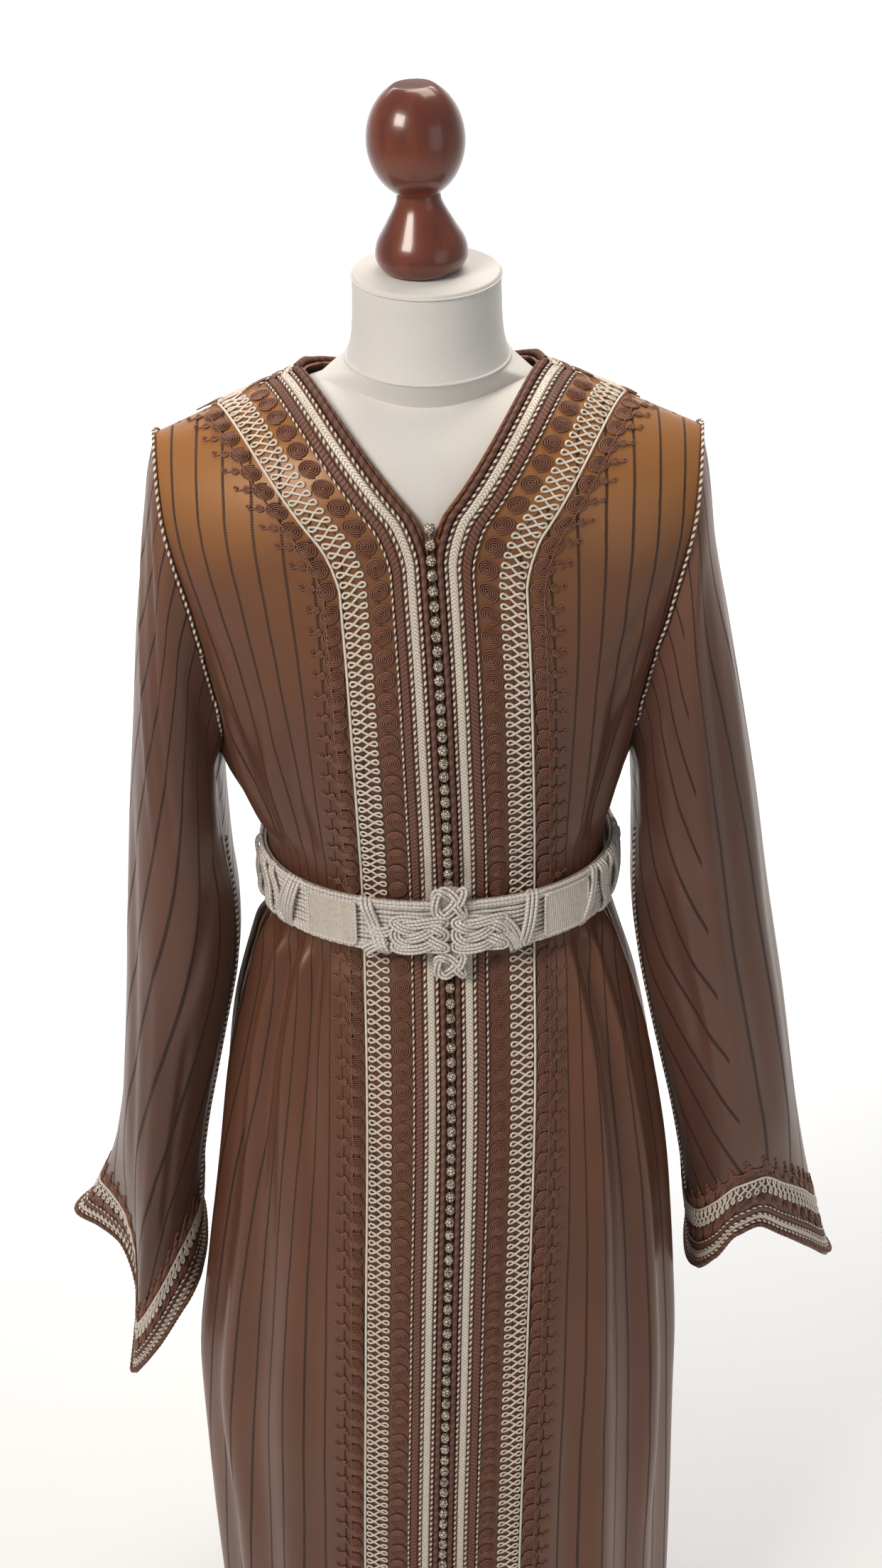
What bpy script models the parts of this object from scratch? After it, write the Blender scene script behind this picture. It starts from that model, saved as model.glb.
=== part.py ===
# Kaftan with its corded belt, worn by a limbless dress form on a pole and a round foot.
# Metres, +Z up. The origin is the centre of the foot's underside, and the front faces -Y.
# Left and right are as seen from the front: left is -X.
import math

import bmesh
import bpy
from mathutils import Matrix, Vector

# Cloth and seams
CLOTH_THICKNESS = 0.0016
TRIM_THICKNESS = 0.0010
SEAM_GAP = 0.0003
FORM_CLEARANCE = 0.0036
FORM_BACK_CLEARANCE = 0.0060
NECK_TRIM_LIFT = 0.0015

# Body of the garment: outer surface of the cloth at each level
SECTION_EXPONENT = 2.15
BODY_SECTIONS = (
    # level, half width, front depth, back depth, centre x
    (0.025, 0.230, 0.236, 0.232, -0.007),
    (0.110, 0.227, 0.232, 0.228, -0.007),
    (0.300, 0.229, 0.224, 0.220, -0.010),
    (0.470, 0.229, 0.212, 0.212, -0.012),
    (0.600, 0.219, 0.195, 0.198, -0.008),
    (0.740, 0.203, 0.171, 0.180, -0.004),
    (0.848, 0.186, 0.149, 0.163, -0.005),
    (0.935, 0.161, 0.121, 0.136, -0.006),
    (0.972, 0.1488, 0.1062, 0.1165, -0.0045),
    (1.040, 0.1486, 0.1058, 0.1160, -0.0050),
    (1.075, 0.157, 0.113, 0.123, -0.008),
    (1.120, 0.172, 0.119, 0.125, -0.0115),
    (1.200, 0.194, 0.124, 0.124, -0.009),
    (1.280, 0.225, 0.121, 0.116, -0.006),
    (1.350, 0.246, 0.115, 0.110, -0.006),
    (1.540, 0.252, 0.113, 0.108, -0.006),
)
SHOULDER_RADIUS = 0.120
SHOULDER_SLOPE = 0.430
SHOULDER_CENTRE_X = -0.006
SHOULDER_BLEND = 0.016
NECK_HALF_WIDTH = 0.092
NECK_POINT_HEIGHT = 1.454
BACK_NECK_RISE = 0.010

# Centre front, where the buttons run
CENTRE_LINE = (
    # level, x
    (0.025, -0.017),
    (0.370, -0.010),
    (0.600, -0.003),
    (0.900, 0.005),
    (1.000, 0.005),
    (1.200, 0.001),
    (1.355, -0.006),
)
V_LEVEL = 1.355
NECK_CENTRE_X = -0.0110
NECK_EDGE_HALF = 0.0920
NECK_START_ANGLE = math.radians(43.0)
NECK_END_ANGLE = math.radians(15.0)
BACK_NECK_DIP = 0.086
BACK_NECK_FULLNESS = 0.9
NECK_TRIM_STEPS = 14

# Armhole seam, the same in front and behind
ARMPIT_LEVEL = 1.120
ARMHOLE_TURN_INSET = 0.0015
ARMHOLE = (
    # level, distance from the middle
    (1.120, 0.1720),
    (1.149, 0.1705),
    (1.200, 0.1780),
    (1.267, 0.1930),
    (1.355, 0.2120),
    (1.475, 0.2200),
)
ARMHOLE_ROWS = 10
ARMHOLE_HALF_DEPTH = 0.062

# Rows of the panels below the armpit, and columns beside the buttons
SKIRT_LEVELS = (0.025, 0.105, 0.195, 0.285, 0.375, 0.465, 0.550, 0.630, 0.705, 0.780,
                0.845, 0.900, 0.935, 0.955, 0.975, 1.008, 1.040, 1.078, 1.120)
PLACKET_OFFSET = 0.0002
TRIM_OFFSETS = (PLACKET_OFFSET, 0.0328, 0.050, 0.073, 0.100)
BRAID_OFFSETS = (0.0045, 0.0328)
LACE_OFFSETS = (0.050, 0.073)
FRONT_COLUMNS = 9
V_ROW = 5
BACK_SIDE_COLUMNS = 6
BACK_NECK_COLUMNS = 8

# Folds of the skirt and gathers of the bodice; share runs from the trims to the side seam,
# and on the back from the side seam to the middle
FOLDS_FRONT_LEFT = (
    # share, half width, depth at the hem, depth above the belt
    (0.14, 0.15, 0.010, 0.003),
    (0.45, 0.16, 0.015, 0.005),
    (0.76, 0.15, 0.011, 0.005),
)
FOLDS_FRONT_RIGHT = (
    (0.18, 0.16, 0.011, 0.004),
    (0.50, 0.15, 0.014, 0.005),
    (0.80, 0.14, 0.010, 0.004),
)
FOLDS_BACK_LEFT = (
    (0.20, 0.13, 0.012, 0.004),
    (0.48, 0.14, 0.017, 0.006),
    (0.78, 0.13, 0.014, 0.006),
)
FOLDS_BACK_RIGHT = (
    (0.24, 0.14, 0.015, 0.005),
    (0.54, 0.13, 0.013, 0.005),
    (0.82, 0.12, 0.016, 0.006),
)
FOLD_TOP = 0.955
FOLD_FULL = 0.500
GATHER_RANGE = (1.045, 1.235)

# Sleeves: rows down the arm, then a free edge at the cuff
SLEEVE_LEFT_ROWS = (
    # outer distance, outer height, inner distance, inner height, half depth, centre y
    (0.234, 1.369, 0.190, 1.100, 0.072, 0.002),
    (0.241, 1.318, 0.190, 1.082, 0.078, 0.002),
    (0.252, 1.245, 0.189, 1.055, 0.083, 0.001),
    (0.261, 1.165, 0.187, 1.020, 0.086, 0.000),
    (0.2715, 1.075, 0.183, 0.975, 0.087, -0.002),
    (0.281, 0.980, 0.185, 0.920, 0.087, -0.004),
    (0.290, 0.880, 0.200, 0.850, 0.087, -0.006),
    (0.301, 0.780, 0.217, 0.775, 0.088, -0.008),
)
SLEEVE_RIGHT_ROWS = (
    (0.221, 1.368, 0.166, 1.100, 0.072, 0.002),
    (0.229, 1.310, 0.167, 1.082, 0.078, 0.002),
    (0.244, 1.235, 0.168, 1.055, 0.083, 0.001),
    (0.260, 1.155, 0.168, 1.020, 0.086, 0.000),
    (0.276, 1.070, 0.169, 0.975, 0.087, 0.000),
    (0.292, 0.970, 0.175, 0.920, 0.087, 0.000),
    (0.311, 0.870, 0.189, 0.850, 0.087, 0.000),
    (0.326, 0.775, 0.206, 0.775, 0.087, 0.000),
)
# Edge of each cuff, from the outer side round the front to the inner side and the back
CUFF_LEFT = (
    # turn, distance, y, height
    (0, 0.374, 0.048, 0.573),
    (20, 0.348, 0.026, 0.574),
    (40, 0.320, 0.002, 0.568),
    (60, 0.303, -0.030, 0.525),
    (80, 0.311, -0.062, 0.460),
    (105, 0.283, -0.080, 0.508),
    (130, 0.256, -0.074, 0.552),
    (155, 0.244, -0.050, 0.568),
    (185, 0.243, -0.010, 0.566),
    (230, 0.248, 0.040, 0.578),
    (280, 0.280, 0.082, 0.584),
    (325, 0.335, 0.084, 0.580),
)
CUFF_RIGHT = (
    (0, 0.378, 0.004, 0.542),
    (25, 0.352, -0.026, 0.574),
    (50, 0.322, -0.044, 0.604),
    (72, 0.293, -0.054, 0.625),
    (95, 0.272, -0.060, 0.618),
    (120, 0.256, -0.058, 0.590),
    (145, 0.243, -0.040, 0.562),
    (180, 0.240, -0.005, 0.548),
    (225, 0.246, 0.045, 0.552),
    (270, 0.285, 0.078, 0.560),
    (315, 0.335, 0.062, 0.556),
    (340, 0.362, 0.036, 0.550),
)
CUFF_OFFSETS = (0.150, 0.100, 0.073, 0.050, 0.0328, 0.0)
CUFF_TRIM_ROWS = (("braid", 4), ("lace", 2))
CUFF_BEND = 0.45
SLEEVE_FADE_ROWS = 6.0
SLEEVE_CORD_START = 3

# Buttons and cords
BUTTON_DIAMETER = 0.0081
BUTTON_PITCH = 0.0122
BUTTON_NECK = 0.0026
BUTTON_SIDES = 5
BUTTON_LIFT = 0.0009
BUTTON_TOP = 0.002
BUTTON_BOTTOM = 0.008
CORD_DIAMETER = 0.0028
CORD_SEAT = 0.0008
CORD_MIN_OPENING = 0.70

# Belt
BELT_HALF_WIDTH = 0.1560
BELT_FRONT_DEPTH = 0.1210
BELT_BACK_DEPTH = 0.1240
BELT_CENTRE_X = -0.0035
BELT_HEIGHT = 0.050
BELT_THICKNESS = 0.0048
BELT_LEVEL = 1.010
BELT_DROOP = 0.006
BELT_SEGMENTS = 44
BELT_EDGE_CORD = 0.0055
BELT_TURN_RADIUS = 0.135
KNOT_THICKNESS = 0.006
KNOT_SIDES = 14
KNOT_SQUARENESS = 2.6
STRIP_BASE = 0.0012
PLAQUE_THICKNESS = 0.0022
WRAP_THICKNESS = 0.0030
WRAP_WIDTH = 0.011
WRAP_INSET = 0.0005
KNOTS = (
    # name, x, height over the belt's middle, half width, half height, gap under it
    ("knot_top", 0.005, 0.0255, 0.0140, 0.0140, 0.0014),
    ("knot_bottom", 0.005, -0.0345, 0.0135, 0.0115, 0.0014),
    ("knot_left", -0.0180, -0.0055, 0.0225, 0.0165, 0.0009),
    ("knot_right", 0.0290, -0.0055, 0.0225, 0.0165, 0.0009),
)
PLAQUES = (
    # name, x at one end, x at the other, half height
    ("plaque_left", -0.1125, -0.0725, 0.0215),
    ("plaque_right", 0.0850, 0.1220, 0.0215),
)
WRAPS = (
    # name, angle at the top edge and at the bottom edge in degrees
    ("wrap_left_inner", -21.5, -15.6),
    ("wrap_left_outer", -49.0, -55.0),
    ("wrap_left_side", -72.0, -66.0),
    ("wrap_right_inner", 28.6, 25.0),
    ("wrap_right_outer", 61.0, 67.0),
    ("wrap_right_side", 83.0, 77.0),
)

# Dress form and stand
FORM_SECTIONS = (
    # level, half width, front depth, back depth
    (0.800, 0.150, 0.092, 0.112),
    (0.860, 0.155, 0.096, 0.116),
    (0.930, 0.142, 0.090, 0.106),
    (1.000, 0.122, 0.080, 0.090),
    (1.060, 0.122, 0.082, 0.088),
    (1.120, 0.140, 0.096, 0.096),
    (1.200, 0.172, 0.112, 0.104),
    (1.280, 0.200, 0.114, 0.106),
)
FORM_LEVELS = (0.800, 0.840, 0.890, 0.945, 1.000, 1.060, 1.120, 1.175, 1.225, 1.275, 1.325, 1.370,
               1.405, 1.435)
FORM_TRIM_START = 1.130
FORM_TRIM_END = 1.230
FORM_SIDE_POINTS = 13
FORM_SEAM_DROP = 0.004
FORM_RING_DROP = 0.006
ARM_PLATE_INSET = 0.012
PLATE_SHARE = 0.995
SHOULDER_RINGS = (
    # half width, level in the middle of the front, level in the middle of the back
    (0.178, 1.446, 1.440),
    (0.145, 1.453, 1.443),
    (0.112, 1.456, 1.446),
    (0.090, 1.459, 1.450),
)
NECK_SEAM_MARGIN = 0.0006
NECK_RING_TURN = 84.0
NECK_TILT = math.radians(6.5)
NECK_CENTRE = (-0.005, -0.001, 1.4610)
NECK_PROFILE = (
    # radius, height over the neck seam
    (0.0562, 0.0690),
    (0.0578, 0.0670),
    (0.0582, 0.0520),
    (0.0590, 0.0300),
    (0.0612, 0.0130),
    (0.0650, 0.0000),
)
FINIAL_LEAN = math.radians(-2.0)
FINIAL_OFFSET_X = -0.003
FINIAL_SEAT = 0.0014
FINIAL_BASE = (
    # radius, height over the neck's top
    (0.0290, 0.0000),
    (0.0325, 0.0030),
    (0.0354, 0.0085),
    (0.0359, 0.0140),
    (0.0345, 0.0205),
    (0.0300, 0.0290),
    (0.0234, 0.0405),
    (0.0186, 0.0495),
    (0.0166, 0.0560),
)
BALL_RADIUS = 0.0375
BALL_HALF_HEIGHT = 0.0440
BALL_HEIGHT = 0.0980
BALL_STEPS = 11
FACET_RADIUS = 0.0155
POLE_RADIUS = 0.0150
FOOT_RADIUS = 0.1900
FOOT_PROFILE = (
    # radius, height
    (0.0160, 0.0420),
    (0.0300, 0.0400),
    (0.0330, 0.0280),
    (0.0900, 0.0230),
    (0.1820, 0.0180),
    (0.1900, 0.0120),
    (0.1890, 0.0000),
)
TURNED_STEPS = 28

SATIN = ("brown satin", (0.127, 0.053, 0.032), 0.42, 0.0)
BRAID = ("brown braid", (0.100, 0.045, 0.030), 0.60, 0.0)
LACE = ("cream lace", (0.680, 0.580, 0.400), 0.50, 0.1)
BUTTON = ("silver thread buttons", (0.600, 0.500, 0.350), 0.45, 0.3)
BELT = ("silver cord belt", (0.580, 0.510, 0.420), 0.40, 0.3)
JERSEY = ("white jersey", (0.760, 0.720, 0.640), 0.70, 0.0)
WOOD = ("mahogany", (0.156, 0.038, 0.018), 0.35, 0.0)


def clear_scene():
    for item in list(bpy.data.objects):
        bpy.data.objects.remove(item, do_unlink=True)
    for group in list(bpy.data.collections):
        bpy.data.collections.remove(group)


def smooth_step(share):
    share = min(1.0, max(0.0, share))
    return share * share * (3.0 - 2.0 * share)


# Value of one column at a key, through the rows without overshoot
def table_value(table, column, key):
    keys = [row[0] for row in table]
    values = [row[column] for row in table]
    if key <= keys[0]:
        return values[0]
    if key >= keys[-1]:
        return values[-1]
    steps = [(values[i + 1] - values[i]) / (keys[i + 1] - keys[i]) for i in range(len(keys) - 1)]
    slopes = [steps[0]]
    for before, after in zip(steps, steps[1:]):
        slopes.append(0.0 if before * after <= 0.0 else 2.0 * before * after / (before + after))
    slopes.append(steps[-1])
    index = max(i for i in range(len(keys) - 1) if keys[i] <= key)
    width = keys[index + 1] - keys[index]
    t = (key - keys[index]) / width
    start = values[index] * (1.0 + 2.0 * t) + slopes[index] * width * t
    end = values[index + 1] * (3.0 - 2.0 * t) + slopes[index + 1] * width * (t - 1.0)
    return start * (1.0 - t) ** 2 + end * t * t


def shoulder_height(x, is_back):
    distance = abs(x - SHOULDER_CENTRE_X)
    reach = distance - NECK_HALF_WIDTH
    softened = 0.5 * (reach + math.sqrt(reach * reach + SHOULDER_BLEND ** 2))
    height = NECK_POINT_HEIGHT - SHOULDER_SLOPE * softened
    if is_back:
        height += BACK_NECK_RISE * max(0.0, 1.0 - (distance / NECK_HALF_WIDTH) ** 2)
    return height


def shoulder_level(x, is_back):
    return shoulder_height(x, is_back) + SHOULDER_RADIUS * (math.pi / 2.0 - 1.0)


# Plain surface of the garment. Angle 0 is the middle of the front and grows towards +X. The level is
# the height, and above the chest it is measured over the curve of the shoulder.
def plain_point(angle, level):
    half_width, front_depth, back_depth, centre_x = (table_value(BODY_SECTIONS, i, level) for i in range(1, 5))
    power = 2.0 / SECTION_EXPONENT
    sine = math.sin(angle)
    cosine = math.cos(angle)
    is_back = cosine < 0.0
    across = math.copysign(half_width * abs(sine) ** power, sine)
    depth = (back_depth if is_back else front_depth) * abs(cosine) ** power
    chest = shoulder_height(centre_x + across, is_back) - SHOULDER_RADIUS
    height = level
    if level > chest:
        turn = min((level - chest) / SHOULDER_RADIUS, math.pi / 2.0)
        height = chest + SHOULDER_RADIUS * math.sin(turn)
        depth *= math.cos(turn)
    return Vector((centre_x + across, depth if is_back else -depth, height))


def angle_at(x, level, is_back):
    half_width = table_value(BODY_SECTIONS, 1, level)
    offset = x - table_value(BODY_SECTIONS, 4, level)
    share = min(1.0, abs(offset) / half_width)
    angle = math.copysign(math.asin(share ** (SECTION_EXPONENT / 2.0)), offset)
    return math.pi - angle if is_back else angle


def surface_normal(angle, level):
    turn = 0.004
    rise = 0.001
    around = plain_point(angle + turn, level) - plain_point(angle - turn, level)
    upward = plain_point(angle, level + rise) - plain_point(angle, level - rise)
    return around.cross(upward).normalized()


def centre_x(level):
    return table_value(CENTRE_LINE, 1, level)


# Height of the folds over the plain surface
def fold_height(angle, level):
    turn = math.atan2(math.sin(angle), math.cos(angle))
    is_left = turn < 0.0
    turn = abs(turn)
    if turn > math.pi / 2.0:
        share = (turn - math.pi / 2.0) / (math.pi / 2.0)
        folds = FOLDS_BACK_LEFT if is_left else FOLDS_BACK_RIGHT
    else:
        start = abs(angle_at(TRIM_OFFSETS[-1], level, False))
        share = (turn - start) / (math.pi / 2.0 - start)
        folds = FOLDS_FRONT_LEFT if is_left else FOLDS_FRONT_RIGHT
    skirt = smooth_step((FOLD_TOP - level) / (FOLD_TOP - FOLD_FULL))
    low, high = GATHER_RANGE
    gather = math.sin(math.pi * (level - low) / (high - low)) if low < level < high else 0.0
    total = 0.0
    for place, half_width, hem_depth, bodice_depth in folds:
        distance = abs(share - place) / half_width
        if distance < 1.0:
            bump = math.cos(distance * math.pi / 2.0) ** 2
            total += bump * (hem_depth * skirt + bodice_depth * gather)
    return total


def body_point(angle, level, lift=0.0):
    normal = surface_normal(angle, level)
    return plain_point(angle, level) + normal * (lift + fold_height(angle, level))


# Neckline of one side, from the V to the shoulder, as a cubic curve in x and level
def neckline(side, share):
    start = Vector((centre_x(V_LEVEL), V_LEVEL))
    end_x = NECK_CENTRE_X + side * NECK_EDGE_HALF
    end = Vector((end_x, shoulder_level(end_x, False)))
    reach = (end - start).length / 3.0
    first = start + reach * Vector((side * math.sin(NECK_START_ANGLE), math.cos(NECK_START_ANGLE)))
    second = end - reach * Vector((side * math.sin(NECK_END_ANGLE), math.cos(NECK_END_ANGLE)))
    rest = 1.0 - share
    point = start * rest ** 3 + first * (3 * share * rest ** 2) + second * (3 * share ** 2 * rest) + end * share ** 3
    heading = (first - start) * rest ** 2 + (second - first) * (2 * share * rest) + (end - second) * share ** 2
    return point, heading.normalized()


def neckline_length(side):
    points = [neckline(side, i / 20.0)[0] for i in range(21)]
    return sum((b - a).length for a, b in zip(points, points[1:]))


# Place in x and level of a row of the front, at an offset from the button line or the neckline
def trim_place(side, offset, row):
    below = len(SKIRT_LEVELS) - 1
    drop = offset * math.tan(NECK_START_ANGLE / 2.0)
    if row <= below:
        level = SKIRT_LEVELS[row]
        return centre_x(level) + side * offset, level
    step = row - below
    if step <= V_ROW:
        level = ARMPIT_LEVEL + (V_LEVEL - drop - ARMPIT_LEVEL) * step / V_ROW
        return centre_x(level) + side * offset, level
    first = drop / neckline_length(side)
    travelled = (step - V_ROW) / (ARMHOLE_ROWS - V_ROW)
    point, heading = neckline(side, first + (1.0 - first) * travelled)
    outward = Vector((side * heading.y, -side * heading.x))
    place = point + outward * offset
    end, end_heading = neckline(side, 1.0)
    end_place = end + Vector((side * end_heading.y, -side * end_heading.x)) * offset
    shift = shoulder_level(end_place.x, False) - end_place.y
    return place.x, place.y + shift * travelled


def armhole_level(step):
    top = shoulder_level(SHOULDER_CENTRE_X + ARMHOLE[-1][1], False)
    share = (1.0 - math.cos(math.pi * step / ARMHOLE_ROWS)) / 2.0
    return ARMPIT_LEVEL + (top - ARMPIT_LEVEL) * share


# Angle of the side seam or of the armhole at a row
def side_angle(row):
    below = len(SKIRT_LEVELS) - 1
    if row <= below:
        level = SKIRT_LEVELS[row]
        return math.pi / 2.0 - PLACKET_OFFSET / table_value(BODY_SECTIONS, 2, level), level
    level = armhole_level(row - below)
    share = table_value(ARMHOLE, 1, level) / table_value(BODY_SECTIONS, 1, level)
    return math.asin(min(1.0, share) ** (SECTION_EXPONENT / 2.0)) - ARMHOLE_TURN_INSET, level


def row_count():
    return len(SKIRT_LEVELS) + ARMHOLE_ROWS


# Keeps the last row of a panel just short of the shoulder seam
def below_seam(x, level, is_back):
    return min(level, shoulder_level(x, is_back) - SEAM_GAP)


def front_places(side):
    places = []
    for row in range(row_count()):
        line = []
        for offset in TRIM_OFFSETS:
            x, level = trim_place(side, offset, row)
            level = below_seam(x, level, False)
            line.append((angle_at(x, level, False), level))
        start_angle, start_level = line[-1]
        end_angle, end_level = side_angle(row)
        for column in range(1, FRONT_COLUMNS + 1):
            share = column / FRONT_COLUMNS
            angle = start_angle + (side * end_angle - start_angle) * share
            level = start_level + (end_level - start_level) * share
            x = plain_point(angle, level).x
            line.append((angle, below_seam(x, level, False)))
        places.append(line)
    return places


# Neckline behind, from one shoulder (-90 degrees) to the other (90 degrees)
def back_neckline(turn):
    x = NECK_CENTRE_X + NECK_EDGE_HALF * math.sin(turn)
    end_level = shoulder_level(NECK_CENTRE_X - NECK_EDGE_HALF, True)
    dip = BACK_NECK_DIP * math.cos(turn) ** BACK_NECK_FULLNESS if math.cos(turn) > 0.0 else 0.0
    return x, max(end_level, shoulder_level(x, False)) - dip


def back_top(column):
    count = 2 * BACK_SIDE_COLUMNS + BACK_NECK_COLUMNS
    if BACK_SIDE_COLUMNS <= column <= BACK_SIDE_COLUMNS + BACK_NECK_COLUMNS:
        turn = math.radians(-90.0 + 180.0 * (column - BACK_SIDE_COLUMNS) / BACK_NECK_COLUMNS)
        x, level = back_neckline(turn)
        return x, below_seam(x, level, True)
    side = -1.0 if column < BACK_SIDE_COLUMNS else 1.0
    steps_in = min(column, count - column)
    neck_x = NECK_CENTRE_X + side * NECK_EDGE_HALF
    tip_x = SHOULDER_CENTRE_X + side * ARMHOLE[-1][1]
    x = tip_x + (neck_x - tip_x) * steps_in / BACK_SIDE_COLUMNS
    return x, shoulder_level(x, True) - SEAM_GAP


def back_places():
    count = 2 * BACK_SIDE_COLUMNS + BACK_NECK_COLUMNS
    below = len(SKIRT_LEVELS) - 1
    places = []
    for row in range(row_count()):
        edge_angle, edge_level = side_angle(row)
        line = []
        for column in range(count + 1):
            share = 2.0 * column / count - 1.0
            if row <= below:
                line.append((math.pi - share * edge_angle, edge_level))
                continue
            climb = smooth_step((row - below) / ARMHOLE_ROWS) * 0.5 + 0.5 * (row - below) / ARMHOLE_ROWS
            top_x, top_level = back_top(column)
            top_angle = angle_at(top_x, top_level, True)
            low_angle = math.pi - share * side_angle(below)[0]
            angle = low_angle + (top_angle - low_angle) * climb
            level = ARMPIT_LEVEL + (top_level - ARMPIT_LEVEL) * climb
            side = 1.0 if share > 0.0 else -1.0
            top_edge_x, top_edge_level = back_top(count if share > 0.0 else 0)
            top_edge_angle = angle_at(top_edge_x, top_edge_level, True)
            low_edge_angle = math.pi - side * side_angle(below)[0]
            plain_edge = low_edge_angle + (top_edge_angle - low_edge_angle) * climb
            plain_level = ARMPIT_LEVEL + (top_edge_level - ARMPIT_LEVEL) * climb
            weight = abs(share) ** 3
            angle += weight * (math.pi - side * edge_angle - plain_edge)
            level += weight * (edge_level - plain_level)
            x = plain_point(angle, level).x
            line.append((angle, below_seam(x, level, True)))
        places.append(line)
    return places


# Closed wall between an outer and an inner grid of points; a tube is closed round its columns
def wall_object(name, outer, inner, is_tube, material):
    rows = len(outer)
    columns = len(outer[0])
    points = [point for line in outer for point in line] + [point for line in inner for point in line]
    back = rows * columns
    faces = []

    def index(row, column):
        return row * columns + column % columns

    spans = columns if is_tube else columns - 1
    for row in range(rows - 1):
        for column in range(spans):
            a, b = index(row, column), index(row, column + 1)
            c, d = index(row + 1, column + 1), index(row + 1, column)
            faces += [(a, b, c), (a, c, d), (back + a, back + c, back + b), (back + a, back + d, back + c)]
    rim = []
    for row in (0, rows - 1):
        rim += [(index(row, column), index(row, column + 1)) for column in range(spans)]
    if not is_tube:
        for column in (0, columns - 1):
            rim += [(index(row, column), index(row + 1, column)) for row in range(rows - 1)]
    faces += [(a, b, back + b, back + a) for a, b in rim]
    return mesh_object(name, points, faces, material)


def mesh_object(name, points, faces, material):
    mesh = bpy.data.meshes.new(name)
    mesh.from_pydata([tuple(point) for point in points], [], faces)
    shell = bmesh.new()
    shell.from_mesh(mesh)
    bmesh.ops.recalc_face_normals(shell, faces=shell.faces)
    shell.to_mesh(mesh)
    shell.free()
    mesh.shade_smooth()
    mesh.set_sharp_from_angle(angle=math.radians(40.0))
    item = bpy.data.objects.new(name, mesh)
    return place(item, material)


def place(item, material):
    item.data.materials.clear()
    item.data.materials.append(material)
    bpy.data.collections["kaftan_on_form"].objects.link(item)
    return item


def make_material(name, color, roughness, metallic):
    material = bpy.data.materials.new(name)
    material.use_nodes = True
    shader = material.node_tree.nodes["Principled BSDF"]
    shader.inputs["Base Color"].default_value = (*color, 1.0)
    shader.inputs["Roughness"].default_value = roughness
    shader.inputs["Metallic"].default_value = metallic
    material.diffuse_color = (*color, 1.0)
    return material


# Cloth on the body: places are moved out of and into the surface
def panel(name, places, material, bottom=-CLOTH_THICKNESS, top=0.0):
    outer = [[body_point(angle, level, top) for angle, level in line] for line in places]
    inner = [[body_point(angle, level, bottom) for angle, level in line] for line in places]
    return wall_object(name, outer, inner, False, material)


def trim_places(side, offsets):
    places = []
    for row in range(row_count()):
        line = []
        for offset in offsets:
            x, level = trim_place(side, offset, row)
            level = below_seam(x, level, False)
            line.append((angle_at(x, level, False), level))
        places.append(line)
    return places


def make_front_trims(materials):
    bottom = SEAM_GAP
    top = SEAM_GAP + TRIM_THICKNESS
    for side, label in ((-1.0, "left"), (1.0, "right")):
        panel("front_" + label, front_places(side), materials["satin"])
        panel("braid_" + label, trim_places(side, BRAID_OFFSETS), materials["braid"], bottom, top)
        panel("lace_" + label, trim_places(side, LACE_OFFSETS), materials["lace"], bottom, top)


# Trims round the back of the neck, from shoulder to shoulder
def make_neck_trims(materials):
    for name, offsets, material in (("braid_neck", BRAID_OFFSETS, "braid"), ("lace_neck", LACE_OFFSETS, "lace")):
        places = []
        for step in range(NECK_TRIM_STEPS + 1):
            turn = math.radians(-90.0 + 180.0 * step / NECK_TRIM_STEPS)
            side = math.sin(turn)
            line = []
            for offset in offsets:
                x, level = back_neckline(turn)
                x += offset * side
                level -= offset * math.cos(turn)
                if abs(side) > 0.999:
                    level = shoulder_level(x, True)
                level = below_seam(x, level, True)
                line.append((angle_at(x, level, True), level))
            places.append(line)
        panel(name, places, materials[material], NECK_TRIM_LIFT, NECK_TRIM_LIFT + TRIM_THICKNESS)


def make_button_row(material):
    top = V_LEVEL + BUTTON_TOP
    bottom = SKIRT_LEVELS[0] + BUTTON_BOTTOM
    count = int((top - bottom) / BUTTON_PITCH)
    lift = BUTTON_DIAMETER / 2.0 + BUTTON_LIFT
    points = []
    for step in range(2 * count + 1):
        level = top - BUTTON_PITCH * step / 2.0
        angle = angle_at(centre_x(level), level, False)
        centre = body_point(angle, level, lift)
        above = plain_point(angle, level + 0.002) - plain_point(angle, level - 0.002)
        outward = surface_normal(angle, level)
        across = above.normalized().cross(outward).normalized()
        radius = BUTTON_DIAMETER / 2.0 if step % 2 == 0 else BUTTON_NECK / 2.0
        for corner in range(BUTTON_SIDES):
            turn = 2.0 * math.pi * (corner + 0.5) / BUTTON_SIDES
            points.append(centre + outward * (radius * -math.cos(turn)) + across * (radius * math.sin(turn)))
    faces = []
    for step in range(2 * count):
        for corner in range(BUTTON_SIDES):
            a = step * BUTTON_SIDES + corner
            b = step * BUTTON_SIDES + (corner + 1) % BUTTON_SIDES
            faces.append((a, b, b + BUTTON_SIDES, a + BUTTON_SIDES))
    faces.append(tuple(range(BUTTON_SIDES)))
    faces.append(tuple(range(2 * count * BUTTON_SIDES, (2 * count + 1) * BUTTON_SIDES)))
    return mesh_object("button_row", points, faces, material)


# Points of the armhole seam, from the shoulder down the front to the armpit and up the back, each with
# the direction that leaves the panel there and the panel's outward direction
def armhole_ring(side):
    below = len(SKIRT_LEVELS) - 1
    ring, aways, normals = [], [], []
    for step in range(2 * ARMHOLE_ROWS):
        is_back = step > ARMHOLE_ROWS
        row = below + abs(ARMHOLE_ROWS - step)
        angle, level = side_angle(row)
        turn = side * (math.pi - angle) if is_back else side * angle
        x = plain_point(turn, level).x
        level = below_seam(x, level, is_back)
        edge = body_point(turn, level)
        normal = surface_normal(turn, level)
        inside = body_point(turn + (0.02 if is_back else -0.02) * side, level)
        away = (edge - inside).normalized()
        if step == ARMHOLE_ROWS:
            away = Vector((0.0, 0.0, 1.0))
        ring.append(edge + (away + normal) * SEAM_GAP)
        aways.append(away)
        normals.append(normal)
    return ring, aways, normals


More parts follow.
